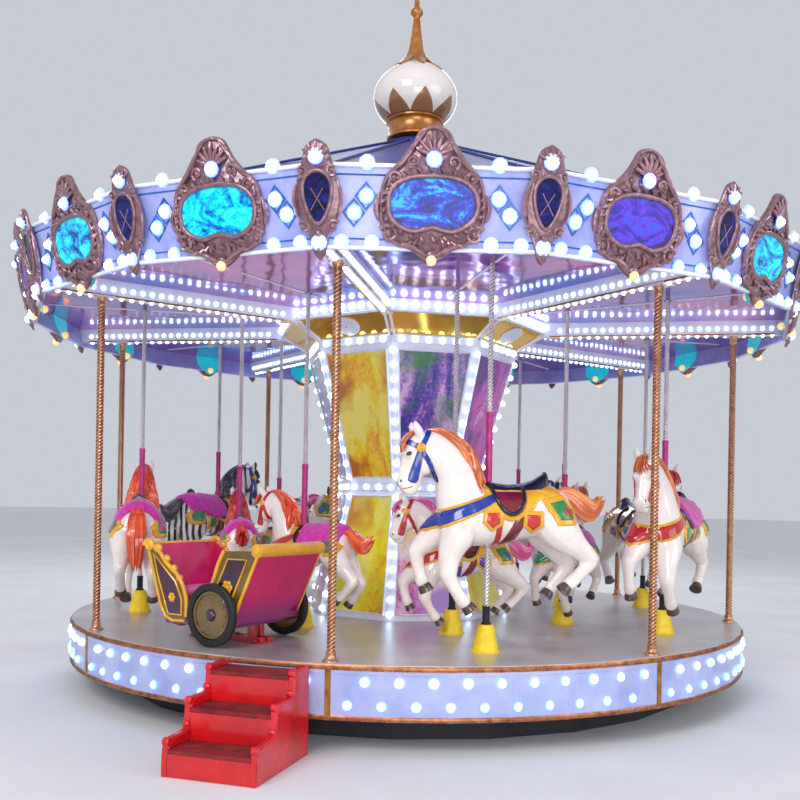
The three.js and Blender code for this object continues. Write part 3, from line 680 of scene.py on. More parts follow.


# Cartouches and shields: hand-laid fibreglass carvings with a rose-bronze glaze over mauve, screwed on the
# boards. Each is a scrolled frame round a printed inset behind clear acrylic. The glaze drifts in tone at
# random and is painted lighter on the high spots and darker in the hollows, as painted highlight and shade.
glaze = surface("rose_bronze_glaze", "#8f7480", 0.3, 0.5, Coat_Weight=0.4)
place = add(glaze, "ShaderNodeTexCoord")
cloud = add(glaze, "ShaderNodeTexNoise", {"Scale": 28.0, "Detail": 5.0}, {"Vector": place.outputs["Object"]})
# Pointiness lightens the high spots and darkens the hollows: a painted highlight and shade.
high_spots = add(glaze, "ShaderNodeNewGeometry")
tone_and_painted_highlight = add(glaze, "ShaderNodeMath", {"operation": "MULTIPLY_ADD", 1: 0.35},
           {0: cloud.outputs["Fac"], 2: high_spots.outputs["Pointiness"]})
tone = add(glaze, "ShaderNodeValToRGB", {"stops": ((0.56, "#38252f"), (0.78, "#967078"))},
           {"Fac": tone_and_painted_highlight.outputs["Value"]})
feed(glaze, "Base Color", tone.outputs["Color"])
leafage = add(glaze, "ShaderNodeTexVoronoi", {"feature": "SMOOTH_F1", "Scale": 34.0, "Smoothness": 0.4},
              {"Vector": place.outputs["Object"]})
cut = add(glaze, "ShaderNodeBump", {"Strength": 0.55, "Distance": 0.006},
          {"Height": leafage.outputs["Distance"]})
feed(glaze, "Normal", cut.outputs["Normal"])


def source(material, socket):
    """The output that feeds a socket of the shader."""
    return shader_of(material).inputs[socket].links[0].from_socket


def inset_print(name, tones, glow):
    """A print behind acrylic in slow swirls of colour, which also glows with its own colours as painted
    light.
    """
    ink = painted_panel(name, tones, 0.24, 2.4, 1.6)
    for socket, value in (("Roughness", 0.25), ("Specular IOR Level", 0.3), ("Coat Weight", 0.15),
                          ("Emission Strength", glow)):
        shader_of(ink).inputs[socket].default_value = value
    feed(ink, "Emission Color", source(ink, "Base Color"))
    return ink


# The prints glow though no lamp lights them: painted light.
oval_prints = [
    inset_print("inset_print_cyan", ["#012a6c", "#0258a8", "#0094c4", "#00c0dc", "#30dce4"], 0.6),
    inset_print("inset_print_blue", ["#010432", "#020e72", "#021c9c", "#0448b8", "#0c98c8"], 0.6),
    inset_print("inset_print_violet", ["#040128", "#120570", "#240a98", "#4c14b0", "#1838b8"], 0.6),
]
almond_print = inset_print("inset_print_night", ["#020312", "#060a38", "#0e1458", "#24207a"], 0.2)


def bent(points, count):
    """A smooth open curve through points, as `count` points."""
    points = [Vector(p) for p in points]
    out = []
    for i in range(count):
        t = i / (count - 1) * (len(points) - 1)
        k = min(int(t), len(points) - 2)
        f = t - k
        p0, p1, p2, p3 = [points[min(max(k + step, 0), len(points) - 1)] for step in (-1, 0, 1, 2)]
        out.append(0.5 * ((2 * p1) + (p2 - p0) * f + (2 * p0 - 5 * p1 + 4 * p2 - p3) * f * f
                          + (3 * p1 - p0 - 3 * p2 + p3) * f ** 3))
    return out


def scroll(shape, centre, radius, start, turns, thick, out=0.02, finish=0):
    """A carved curl that winds in to its eye."""
    path = []
    radii = []
    count = 18
    for i in range(count):
        f = i / (count - 1)
        r = radius * (1 - 0.82 * f)
        a = math.radians(start) + turns * 2 * math.pi * f
        path.append((centre[0] + r * math.cos(a), centre[1] + r * math.sin(a), out + 0.008 * f))
        radii.append(thick * (1 - 0.45 * f))
    shape.tube(path, radii, 7, finish)
    shape.ball((centre[0], centre[1], out + 0.008), thick * 1.05, finish, around=8, down=5)


def mirrored(half):
    """A closed outline from its right half, which runs from foot to head."""
    return [(p.x, p.y) for p in half] + [(-p.x, p.y) for p in reversed(half[1:-1])]


def fan_rib(shape, middle, degrees, stations, radii, sides, finish):
    """A rib of a shell fan, through stations of reach and height."""
    a = math.radians(degrees)
    shape.tube([(reach * math.cos(a), middle + reach * math.sin(a), z) for reach, z in stations], radii,
               sides, finish)


def carved_cartouche(shape, finish, inset):
    """The large cartouche in its own plane, mirrored about its middle."""
    outline = mirrored(bent([(0, -0.07), (0.06, -0.045), (0.12, 0.0), (0.235, 0.045),
                             (0.295, 0.14), (0.302, 0.26), (0.285, 0.365), (0.250, 0.425),
                             (0.192, 0.476), (0.138, 0.540), (0.106, 0.600), (0.082, 0.645),
                             (0.038, 0.668), (0, 0.674)], 40))
    shape.slab(outline, 0.001, 0.024, finish, edge=0.012)
    shape.tube([(x * 0.955, 0.26 + (y - 0.26) * 0.965, 0.024) for x, y in outline], 0.011, 7, finish,
               closed=True)
    oval = []
    for k in range(40):
        a = 2 * math.pi * k / 40
        x = 0.244 * math.copysign(abs(math.cos(a)) ** 0.78, math.cos(a))
        y = 0.146 * math.copysign(abs(math.sin(a)) ** 0.84, math.sin(a))
        if math.sin(a) < 0:
            y += 0.030 * math.exp(-(x / 0.062) ** 4)
        oval.append((x, 0.250 + y))
    shape.slab(oval, 0.026, 0.031, inset)
    shape.tube([(x * 1.04, 0.245 + (y - 0.245) * 1.06, 0.032) for x, y in oval], 0.017, 8, finish,
               closed=True)
    for k in range(26):
        a = 2 * math.pi * (k + 0.5) / 26
        leaf = [(0.264, 0.176, 0.0, 0.028), (0.282, 0.196, 0.045, 0.040), (0.299, 0.212, 0.12, 0.026)]
        shape.tube([(x * math.cos(a + sweep), 0.248 + y * math.sin(a + sweep), z) for x, y, sweep, z in leaf],
                   [0.008, 0.015, 0.004], 6, finish)
    for s in (-1, 1):
        scroll(shape, (s * 0.245, 0.085), 0.055, 90 - s * 60, s * 1.3, 0.017, finish=finish)
        scroll(shape, (s * 0.222, 0.390), 0.046, -90 + s * 30, -s * 1.3, 0.017, finish=finish)
        scroll(shape, (s * 0.112, 0.478), 0.038, -90 + s * 20, s * 1.2, 0.015, finish=finish)
        for points, radii in (
                ([(0.302, 0.16, 0.014), (0.318, 0.23, 0.018), (0.296, 0.31, 0.014)],
                 [0.008, 0.013, 0.016, 0.017, 0.017, 0.016, 0.013, 0.008]),
                ([(0.03, -0.03, 0.024), (0.10, 0.01, 0.03), (0.17, 0.04, 0.026)],
                 [0.010, 0.014, 0.017, 0.018, 0.017, 0.015, 0.011, 0.006]),
                ([(0.245, 0.415, 0.024), (0.172, 0.480, 0.032), (0.116, 0.560, 0.030), (0.050, 0.640, 0.028)],
                 [0.007, 0.012, 0.015, 0.016, 0.016, 0.015, 0.014, 0.012, 0.010, 0.006])):
            shape.tube(bent([(s * x, y, z) for x, y, z in points], len(radii)), radii, 7, finish)
        for k in range(4):
            shape.tube([(s * (0.05 + 0.030 * k), 0.075 - 0.012 * k, 0.026),
                        (s * (0.062 + 0.036 * k), 0.045 - 0.006 * k, 0.036),
                        (s * (0.070 + 0.040 * k), 0.012 + 0.004 * k, 0.024)], [0.006, 0.012, 0.005], 6,
                       finish)
    for k in range(7):
        reach = 0.135 if k == 3 else 0.125 - 0.006 * abs(k - 3)
        fan_rib(shape, 0.505, 90 + (k - 3) * 22, ((0.02, 0.034), (reach * 0.6, 0.042), (reach, 0.030)),
                [0.006, 0.014, 0.010], 7, finish)
    shape.ball((0, 0.50, 0.036), (0.026, 0.026, 0.018), finish, around=10, down=6)
    shape.ball((0, -0.028, 0.028), (0.034, 0.03, 0.02), finish, around=10, down=6)


def carved_shield(shape, finish, inset):
    """The small shield in its own plane."""
    outline = mirrored(bent([(0, -0.068), (0.035, -0.03), (0.055, 0.05), (0.10, 0.14),
                             (0.132, 0.24), (0.128, 0.34), (0.10, 0.42), (0.085, 0.48),
                             (0.06, 0.555), (0, 0.59)], 28))
    shape.slab(outline, 0.001, 0.022, finish, edge=0.010)
    almond = []
    for k in range(32):
        a = 2 * math.pi * k / 32
        almond.append((0.092 * math.cos(a) * (0.80 + 0.26 * math.sin(a)), 0.275 + 0.135 * math.sin(a)))
    shape.slab(almond, 0.022, 0.027, inset)
    shape.tube([(x * 1.1, 0.27 + (y - 0.27) * 1.06, 0.027) for x, y in almond], 0.012, 8, finish, closed=True)
    for s in (-1, 1):
        scroll(shape, (s * 0.085, 0.115), 0.036, 90 - s * 60, s * 1.2, 0.012, out=0.017, finish=finish)
        scroll(shape, (s * 0.088, 0.42), 0.034, -90 + s * 20, -s * 1.2, 0.012, out=0.017, finish=finish)
        shape.tube(bent([(s * 0.118, 0.17, 0.018), (s * 0.137, 0.27, 0.022), (s * 0.118, 0.36, 0.018)], 7),
                   [0.005, 0.009, 0.011, 0.012, 0.011, 0.009, 0.005], 6, finish)
        shape.tube([(-s * 0.040, 0.205, 0.028), (s * 0.036, 0.325, 0.028)], 0.0032, 5, finish)
    for k in range(5):
        fan_rib(shape, 0.475, 90 + (k - 2) * 26, ((0.01, 0.026), (0.055, 0.032), (0.095, 0.022)),
                [0.005, 0.010, 0.007], 6, finish)
    for k in range(3):
        shape.ball((0, 0.075 - 0.045 * k, 0.024), (0.022 - 0.004 * k, 0.026, 0.014), finish, around=8, down=5)


for bay in range(8):
    carving = Shape()
    for side in (-1, 1):
        start = len(carving.points)
        carved_cartouche(carving, 0, (2, 3, 1, 1)[(2 * bay + (side + 1) // 2) % 4])
        carving.moved(on_crown(BAY * (bay + side / 4)), start)
    for degrees in (BAY * bay, BAY * (bay + 0.5)):
        start = len(carving.points)
        carved_shield(carving, 0, 4)
        carving.moved(on_crown(degrees, corner=True), start)
    carving.make(f"crown_carvings_{bay + 1}", [glaze] + oval_prints + [almond_print], "turntable", smooth=50,
                 slot="crown_paint")


# Crown lamps: frosted bulbs screwed in over collars of blue glass, along the head and foot of each board, on
# the diamonds and at the corners. The collars glow blue, a painted halo round each bulb. Two amber bulbs glow
# under each cartouche.
warm_lamp = lit("amber_lamp", "#ffa21c", "#ff9408", 1.6)
crown_lamps = []
crown_amber = []
for k in range(16):
    face = on_crown(BAY / 2 * k + BAY / 4)
    corner_face = on_crown(BAY / 2 * k, corner=True)
    crown_amber += [face @ Vector((0, -0.055, 0.040)), face @ Vector((0, -0.012, -0.052))]
    crown_lamps.append(face @ Vector((0, 0.490, 0.062)))
    for x, y, z in ((0.375, 0.470, 0.012), (0.376, 0.290, 0.018), (0.444, 0.200, 0.018),
                    (0.342, 0.038, 0.018), (0.516, 0.038, 0.018)):
        crown_lamps += [face @ Vector((gap * x, y, z)) for gap in (-1, 1)]
    crown_lamps += [corner_face @ Vector((0, 0.495, 0.044)), corner_face @ Vector((0, 0.030, 0.038))]
lamps("crown_lamps", crown_lamps, 0.028, cool_lamp)
lamps("crown_amber_lamps", crown_amber, 0.030, warm_lamp)
collars = Shape()
for spot in crown_lamps:
    collars.turned([(0, -0.016), (0.048, -0.016), (0.043, -0.006), (0, -0.002)], 10,
                   matrix=(Matrix.Translation(spot) @ spun(math.degrees(math.atan2(spot.x, -spot.y)))
                           @ LEANING))
collars.make("crown_lamp_collars", [blue_glass_painted_halo], "turntable", smooth=40, slot="white_metal")


# Roof: sixteen fibreglass sheets on radial ribs under the crown's top edge, with a standing seam on each rib.
# They are sprayed in satin dark blue, a little faded and dusty in patches. A steel mast carries the finial.
roof_paint = mottled(surface("dark_blue_roof_paint", "#1b2a7c", 0.4), "#16226a", "#24358f", 0.6, 0.12,
                     rough=(0.35, 0.55))
dress(roof_paint, "roof_canopy")
dress(chassis_paint, "roof_mast")
ROOF_RIM = ring_at(3.420, BOARD) - 0.024
ribs = Shape()
for k in range(16):
    low = at(ROOF_RIM, BAY / 2 * k, 3.430)
    high = at(0.27, BAY / 2 * k, 4.743)
    ribs.tube([low.lerp(high, i / 12) for i in range(13)], 0.014, 6, 0)
ribs.turned([(0.33, 4.70), (0.335, 4.725), (0.28, 4.765), (0.20, 4.80), (0.20, 4.79), (0.28, 4.745),
             (0.33, 4.70)], 32)
ribs.make("roof_seams", [roof_paint], "turntable", smooth=50, slot="roof_sheet")


# Finial: a fibreglass collar, an onion dome in white gel coat and a spire, stacked on the mast and bolted.
# Bronze-gold paint covers collar and spire, eight petals at the dome's foot and the leaves that fall from the
# spire over its top.
gilt = mottled(surface("bronze_gold_paint", "#b87028", 0.3, 0.6, Coat_Weight=0.4), "#96521c", "#d08a42", 0.08,
               0.1)
collar = Shape().turned([(0.0, 4.8205), (0.255, 4.8205), (0.258, 4.836), (0.246, 4.85), (0.236, 4.862),
                         (0.236, 4.955), (0.246, 4.968), (0.262, 4.98), (0.262, 4.992), (0.25, 4.9995),
                         (0.0, 4.9995)], 64)
collar.make("finial_collar_turned", [gilt], "turntable", ["finial_collar"], smooth=40, slot="finial_gold")

PETALS = 8
dome_gel = surface("white_gel_coat_with_petals", "#f1ebe4", 0.12, Coat_Weight=0.8)
place = add(dome_gel, "ShaderNodeTexCoord")
split = add(dome_gel, "ShaderNodeSeparateXYZ", links={"Vector": place.outputs["Object"]})
angle = add(dome_gel, "ShaderNodeMath", {"operation": "ARCTAN2"},
            {0: split.outputs["Y"], 1: split.outputs["X"]})
turns = add(dome_gel, "ShaderNodeMath", {"operation": "MULTIPLY_ADD", 1: PETALS / (2 * math.pi), 2: 0.5},
            {0: angle.outputs["Value"]})
wave = add(dome_gel, "ShaderNodeMath", {"operation": "PINGPONG", 1: 0.5}, {0: turns.outputs["Value"]})
petal_top = add(dome_gel, "ShaderNodeMapRange", {"From Max": 0.5, "To Min": 5.005, "To Max": 5.175},
                {"Value": wave.outputs["Value"]})
under_top = add(dome_gel, "ShaderNodeMath", {"operation": "LESS_THAN"},
                {0: split.outputs["Z"], 1: petal_top.outputs["Result"]})
gold_petals = add(dome_gel, "ShaderNodeMixRGB", {"Color1": srgb("#f1e6e0"), "Color2": srgb("#96683c")},
                  {"Fac": under_top.outputs["Value"]})
cloud = add(dome_gel, "ShaderNodeTexNoise", {"Scale": 8.0, "Detail": 4.0},
            {"Vector": place.outputs["Object"]})
soft = add(dome_gel, "ShaderNodeMapRange", {"To Min": 0.9, "To Max": 1.0}, {"Value": cloud.outputs["Fac"]})
shaded = add(dome_gel, "ShaderNodeMixRGB", {"blend_type": "MULTIPLY", "Fac": 1.0},
             {"Color1": gold_petals.outputs["Color"], "Color2": soft.outputs["Result"]})
feed(dome_gel, "Base Color", shaded.outputs["Color"])
dome_profile = bent([(0.262, 5.001), (0.330, 5.070), (0.369, 5.145), (0.380, 5.222),
                     (0.363, 5.300), (0.311, 5.380), (0.233, 5.450), (0.150, 5.507),
                     (0.099, 5.559)], 40)
dome = Shape().turned([(0.0, 5.0005)] + [(p.x, p.y) for p in dome_profile] + [(0.0, 5.5595)], 72)
dome.make("onion_dome_turned", [dome_gel], "turntable", ["onion_dome"], smooth=60, slot="dome_white")

spire = Shape()
spire_profile = bent([(0.098, 5.5605), (0.068, 5.68), (0.045, 5.83), (0.031, 5.945)], 20)
spire.turned([(0.0, 5.5603)] + [(p.x, p.y) for p in spire_profile]
             + [(0.046, 5.968), (0.057, 5.985), (0.060, 5.998), (0.057, 6.011), (0.046, 6.028),
                (0.029, 6.046), (0.023, 6.10), (0.018, 6.17), (0.010, 6.24), (0.0, 6.299)], 32)
for leaf in range(8):
    rows = []
    for radius, z, half in ((0.088, 5.610, 22.5), (0.106, 5.575, 22.5), (0.142, 5.533, 21),
                            (0.192, 5.492, 15), (0.240, 5.456, 8), (0.276, 5.424, 1)):
        row = [at(radius + 0.006 - 0.003 * g * g, BAY * leaf + half * g, z) for g in (-1, -0.5, 0, 0.5, 1)]
        rows.append(row + [at(radius - 0.010, BAY * leaf + half * g, z - 0.006) for g in (1, -1)])
    spire.skin(rows, 0, around=True, capped=True)
spire.make("spire_turned", [gilt], "turntable", ["finial_spire"], smooth=50, slot="finial_gold")


# Horses: fibreglass castings, gel-coated and hand-painted, each bolted on a twisted nickel-plated pole that
# rises and falls. Mane, tail, hooves and harness stand out of the casting in their own paint. A horse is
# shaped round its pole's axis in side view, with +X the way it gallops and its back 0.204 above the origin.
BACK = 0.204
TRUNK = [
    (-0.556, 0.106, -0.572, 0.036, 0.050), (-0.528, 0.172, -0.555, -0.070, 0.125),
    (-0.445, 0.210, -0.450, -0.125, 0.165), (-0.320, 0.212, -0.335, -0.130, 0.172),
    (-0.200, 0.202, -0.205, -0.150, 0.172), (-0.060, 0.196, -0.050, -0.178, 0.176),
    (0.030, 0.206, 0.090, -0.192, 0.176), (0.062, 0.256, 0.200, -0.180, 0.168),
    (0.088, 0.346, 0.290, -0.112, 0.156), (0.126, 0.424, 0.338, 0.005, 0.134),
    (0.190, 0.488, 0.358, 0.105, 0.110), (0.268, 0.534, 0.366, 0.215, 0.090),
    (0.346, 0.560, 0.382, 0.286, 0.078), (0.425, 0.568, 0.402, 0.306, 0.073),
    (0.500, 0.554, 0.425, 0.286, 0.071), (0.556, 0.505, 0.446, 0.262, 0.067),
    (0.588, 0.443, 0.458, 0.238, 0.059), (0.603, 0.361, 0.466, 0.208, 0.050),
    (0.617, 0.288, 0.478, 0.176, 0.047), (0.624, 0.232, 0.502, 0.150, 0.047),
    (0.611, 0.186, 0.545, 0.140, 0.040), (0.596, 0.166, 0.565, 0.148, 0.024),
]
LEGS = [
    (1, [(0.185, 0.030, 0.085), (0.238, -0.115, 0.106), (0.285, -0.230, 0.077), (0.304, -0.362, 0.056),
         (0.272, -0.430, 0.044), (0.236, -0.490, 0.041), (0.200, -0.540, 0.046), (0.174, -0.570, 0.040)]),
    (-1, [(0.185, 0.030, 0.085), (0.290, -0.085, 0.102), (0.385, -0.160, 0.076), (0.452, -0.232, 0.055),
          (0.450, -0.300, 0.043), (0.434, -0.368, 0.040), (0.416, -0.425, 0.045), (0.400, -0.458, 0.039)]),
    (1, [(-0.375, 0.030, 0.120), (-0.470, -0.075, 0.126), (-0.585, -0.182, 0.080), (-0.683, -0.266, 0.053),
         (-0.640, -0.334, 0.043), (-0.588, -0.388, 0.040), (-0.545, -0.425, 0.045), (-0.518, -0.450, 0.039)]),
    (-1, [(-0.375, 0.030, 0.120), (-0.440, -0.095, 0.120), (-0.528, -0.215, 0.076),
          (-0.608, -0.314, 0.052), (-0.580, -0.378, 0.042), (-0.540, -0.434, 0.039),
          (-0.508, -0.478, 0.044), (-0.488, -0.505, 0.039)]),
]


def along_trunk(t):
    """The casting's section at station t, from rump to muzzle."""
    k = max(0, min(int(t), len(TRUNK) - 2))
    f = t - k
    return [a + (b - a) * f for a, b in zip(TRUNK[k], TRUNK[k + 1])]


def on_trunk(t, turn, lift=0.0):
    """A point on the casting, with turn measured from the back's ridge in degrees."""
    tx, tz, bx, bz, wide = along_trunk(t)
    a = math.radians(turn)
    share = (1 + math.cos(a)) / 2
    fuller = wide * math.sin(a) * (1 + 0.06 * (1 - math.cos(a)))
    point = Vector((bx + (tx - bx) * share, fuller, bz + (tz - bz) * share))
    centre = Vector(((tx + bx) / 2, 0, (tz + bz) / 2))
    return point + (point - centre).normalized() * lift


def horse_casting():
    """One casting, with its parts run together like poured fibreglass."""
    cast = Shape()
    lines = [bent([on_trunk(t, 15 * k) for t in range(len(TRUNK))], 64) for k in range(24)]
    cast.skin(list(zip(*lines)), around=True, capped=True)
    for side, points in LEGS:
        path = bent([(x, side * (0.088 + 0.012 * min(i, 3)), z) for i, (x, z, _) in enumerate(points)], 22)
        sizes = bent([(r, 0, 0) for _, _, r in points], 22)
        cast.tube(path, [max(s.x, 0.02) for s in sizes], 12, flat=1.1)
        knee = Vector((points[3][0], side * 0.124, points[3][1]))
        cast.ball(knee + Vector((math.copysign(0.008, points[3][0]), 0, 0.004)), (0.056, 0.046, 0.056),
                  around=12, down=8)
    for side in (-1, 1):
        cast.tube([(0.478, side * 0.040, 0.520), (0.500, side * 0.054, 0.562), (0.520, side * 0.056, 0.598),
                   (0.524, side * 0.050, 0.632)], [0.030, 0.033, 0.026, 0.006], 10)
        for x, y, z, radii, around in ((0.448, 0.046, 0.345, (0.068, 0.040, 0.072), 12),
                                       (0.563, 0.050, 0.410, (0.034, 0.020, 0.028), 12),
                                       (0.603, 0.026, 0.222, (0.026, 0.026, 0.034), 10),
                                       (0.250, 0.075, -0.060, (0.110, 0.085, 0.120), 12),
                                       (0.545, 0.020, 0.158, (0.040, 0.024, 0.022), 10)):
            cast.ball((x, side * y, z), radii, around=around, down=8)
    mesh = bpy.data.meshes.new("casting")
    mesh.from_pydata([tuple(p) for p in cast.points], [], cast.faces)
    work = bpy.data.objects.new("casting", mesh)
    bpy.context.scene.collection.objects.link(work)
    for kind, settings in (("REMESH", {"mode": "VOXEL", "voxel_size": 0.0115}),
                           ("SMOOTH", {"factor": 0.6, "iterations": 6}), ("DECIMATE", {"ratio": 0.215})):
        modifier = work.modifiers.new(kind.lower(), kind)
        for key, value in settings.items():
            setattr(modifier, key, value)
    poured = bpy.data.meshes.new_from_object(work.evaluated_get(bpy.context.evaluated_depsgraph_get()))
    bpy.data.objects.remove(work)
    poured.shade_smooth()
    return poured


def touch(hide, inside, out, lift):
    """The casting's skin straight out from a point inside it, raised by `lift`."""
    inside = Vector(inside)
    out = Vector(out).normalized()
    hit, normal, _, _ = hide.ray_cast(inside, out)
    if hit is None:
        hit, normal, _, _ = hide.find_nearest(inside + out * 0.05)
    if normal.dot(out) < 0:
        normal = -normal
    return hit + normal * lift


def belt(shape, hide, foot, tip, halves, lift, finish):
    """A strap from the flanks at `foot` round the outline at `tip`, both in side view, with its half width at
    each."""
    foot = Vector((foot[0], 0, foot[1]))
    ahead = (Vector((tip[0], 0, tip[1])) - foot).normalized()
    across = Vector((0, 1, 0)).cross(ahead)
    rows = []
    for i in range(27):
        a = math.radians(90 * (i / 13 - 1))
        out = ahead * math.cos(a) + Vector((0, math.sin(a), 0))
        half = halves[0] + (halves[1] - halves[0]) * max(math.cos(a), 0)
        rows.append([touch(hide, foot + across * (half * g), out, lift * rise)
                     for g, rise in ((-1, 0.1), (-0.88, 1), (0, 1.1), (0.88, 1), (1, 0.1))])
    shape.skin(rows, finish)


def flank_pad(shape, hide, outline, side, lift, finish):
    """Leather or cloth laid on one flank, outlined in side view, with a turned edge."""
    middle = Vector((sum(x for x, _ in outline), sum(z for _, z in outline))) / len(outline)
    edge = []
    for i, (x, z) in enumerate(outline):
        x1, z1 = outline[(i + 1) % len(outline)]
        count = max(2, int(math.hypot(x1 - x, z1 - z) / 0.024))
        edge += [Vector((x + (x1 - x) * k / count, z + (z1 - z) * k / count)) for k in range(count)]
    rows = []
    for share, rise in ((1.0, 0.1), (0.95, 0.9), (0.88, 1), (0.5, 1), (0.12, 1)):
        spots = [middle + (p - middle) * share for p in edge]
        rows.append([touch(hide, (p.x, 0, p.y), (0, side, 0), lift * rise) for p in spots])
    shape.skin(rows, finish, around=True)
    shape.faces.append(tuple(range(len(shape.points) - len(edge), len(shape.points))))
    shape.finishes.append(finish)


def pulled_in(outline, by):
    """An outline drawn in towards its middle."""
    x0 = sum(x for x, _ in outline) / len(outline)
    z0 = sum(z for _, z in outline) / len(outline)
    return [(x0 + (x - x0) * by, z0 + (z - z0) * by) for x, z in outline]


def over_back(shape, hide, x0, x1, spread, lift, finish, rows_of):
    """Cloth over the back from flank to flank. Spread is how far down it hangs and lift how thick it is, both
    worked out from the place on it."""
    rows = []
    for i in range(rows_of):
        f = i / (rows_of - 1)
        row = []
        for k in range(-16, 17):
            a = math.radians(spread(f) * k / 16)
            edge = 0.1 if abs(k) == 16 or i in (0, rows_of - 1) else 1
            row.append(touch(hide, (x0 + (x1 - x0) * f, 0, 0.03), (0, math.sin(a), math.cos(a)),
                             edge * lift(f, k / 16)))
        rows.append(row)
    shape.skin(rows, finish)
    return rows


def lock(shape, points, thick, finish, flat, count=8):
    """A lock of hair that thins to its end."""
    path = bent(points, count)
    shares = [i / (count - 1) for i in range(count)]
    shape.tube(path, [thick * (0.55 + 1.5 * f - 2.0 * f ** 3) + 0.001 for f in shares], 6, finish, flat=flat)


def horse_mane(shape, hanging=False):
    """Mane, forelock and tail in locks of two tones. The tail streams out behind, or hangs."""
    for side in (-1, 1):
        for i in range(18):
            t = 13.1 - 0.34 * i
            sway = 5 * math.sin(2.3 * i)
            end = max(t - 3.6, 6.5 + 0.05 * i)
            over = ((0, 6, -0.002), (0.25, 24 + sway, 0.013), (0.5, 37 - sway, 0.016),
                    (0.75, 44 + sway, 0.015), (1, 46 + sway * 2, 0.003))
            lock(shape, [on_trunk(t + (end - t) * share, side * turn, lift) for share, turn, lift in over],
                 0.0085, i % 2, flat=1.9)
            under = ((t - 0.2, 2, 0.002), (t - 1.0, 10, 0.017), (max(t - 1.9, 6.7), 17 + sway, 0.017),
                     (max(t - 2.7, 6.5), 22, 0.003))
            lock(shape, [on_trunk(place, side * turn, lift) for place, turn, lift in under], 0.0085,
                 (i + 1) % 2, flat=1.7)
        for i in range(3):
            y = side * (0.006 + 0.014 * i)
            lock(shape, [(0.492, y * 0.6, 0.566), (0.556, y, 0.535), (0.594, y * 1.3, 0.474),
                         (0.604 - 0.008 * i, y * 1.5, 0.420 + 0.012 * i)], 0.0085, i % 2, flat=1.3)
    for i in range(11):
        a = 2 * math.pi * i / 11
        dy = 0.034 * math.cos(a)
        dz = 0.034 * math.sin(a)
        end = 0.024 * (i % 3)
        path = [(-0.500, dy * 0.5, 0.170 + dz * 0.4), (-0.575, dy * 1.0, 0.160 + dz * 1.0),
                (-0.665, dy * 1.5, 0.085 + dz * 1.7), (-0.745, dy * 1.5, 0.060 + dz * 1.5),
                (-0.830 + end, dy * 0.8, 0.135 + dz * 0.8)]
        if hanging:
            path = [(-0.500, dy * 0.5, 0.170 + dz * 0.4), (-0.592 + dz * 0.5, dy * 1.1, 0.150 + dz * 0.6),
                    (-0.662 + dz * 1.2, dy * 1.6, 0.030), (-0.682 + dz * 1.4, dy * 1.5, -0.120),
                    (-0.668 + dz * 0.8, dy * 0.8, -0.300 + end)]
        lock(shape, path, 0.026, i % 2, flat=1.2, count=12)
    return shape


def horse_saddle(shape, hide):
    """Saddle cloth with its lappets, the saddle with its side flaps, girths and breast band."""
    over_back(shape, hide, 0.070, -0.470, lambda f: 56 + 32 / (1 + math.exp(45 * (f - 0.64))),
              lambda f, g: 0.012, 1, 22)
    lappets = (
        ([(0.085, 0.055), (0.095, -0.030), (0.030, -0.088), (-0.048, -0.040), (-0.040, 0.060)], 0),
        ([(-0.185, 0.050), (-0.182, -0.050), (-0.255, -0.094), (-0.330, -0.048), (-0.322, 0.050)], 0),
        ([(-0.316, 0.125), (-0.470, 0.158), (-0.556, 0.055), (-0.545, -0.040), (-0.412, -0.045)], 5),
    )
    for side in (-1, 1):
        for outline, inner in lappets:
            flank_pad(shape, hide, outline, side, 0.015, 1)
            flank_pad(shape, hide, pulled_in(outline, 0.66), side, 0.020, inner)
        flank_pad(shape, hide, pulled_in([(-0.440, 0.085), (-0.505, 0.060), (-0.520, 0.010),
                                          (-0.455, 0.010)], 0.8), side, 0.023, 0)
        hem = bent([(0.024, 0, 0.205), (0.000, 0, 0.125), (-0.045, 0, 0.050), (-0.104, 0, 0.024),
                    (-0.163, 0, 0.052), (-0.203, 0, 0.120), (-0.215, 0, 0.180)], 21)
        flank_pad(shape, hide, [(0.046, 0.160), (0.036, 0.095), (-0.010, 0.018), (-0.060, -0.010),
                                (-0.104, -0.020), (-0.150, -0.010), (-0.205, 0.022), (-0.248, 0.095),
                                (-0.255, 0.160)], side, 0.014, 1)
        flank_pad(shape, hide, [(p.x, min(p.z, 0.165)) for p in hem], side, 0.019, 6)
        shape.tube([touch(hide, (p.x, 0, min(p.z, 0.155)), (0, side, max(0, (p.z - 0.12) * 14)), 0.017)
                    for p in hem], 0.013, 8, 2, flat=1.35)
    belt(shape, hide, (-0.225, 0.115), (-0.085, -0.200), (0.034, 0.038), 0.008, 6)
    belt(shape, hide, (-0.020, 0.030), (-0.030, -0.200), (0.020, 0.020), 0.007, 0)
    belt(shape, hide, (0.000, 0.128), (0.345, -0.012), (0.036, 0.058), 0.010, 1)
    belt(shape, hide, (0.000, 0.128), (0.345, -0.012), (0.026, 0.044), 0.015, 3)
    seat = [(0.034, 0.230, 0.060), (0.020, 0.250, 0.078), (-0.040, 0.234, 0.098), (-0.120, 0.225, 0.110),
            (-0.210, 0.229, 0.116), (-0.290, 0.250, 0.112), (-0.350, 0.284, 0.096), (-0.392, 0.306, 0.066)]
    rows = []
    for x, z, half in seat:
        over = [(x, half * g, z - 0.062 * g * g - (0.020 if abs(g) == 1 else 0)) for g in
                (-1, -0.85, -0.6, -0.3, 0, 0.3, 0.6, 0.85, 1)]
        rows.append(over + [(x, half * 0.8, z - 0.075), (x, 0, z - 0.045), (x, -half * 0.8, z - 0.075)])
    shape.skin(rows, 2, around=True, capped=True)
    shape.tube(bent(rows[-1][0:9:2], 13), 0.010, 8, 2)
    return shape


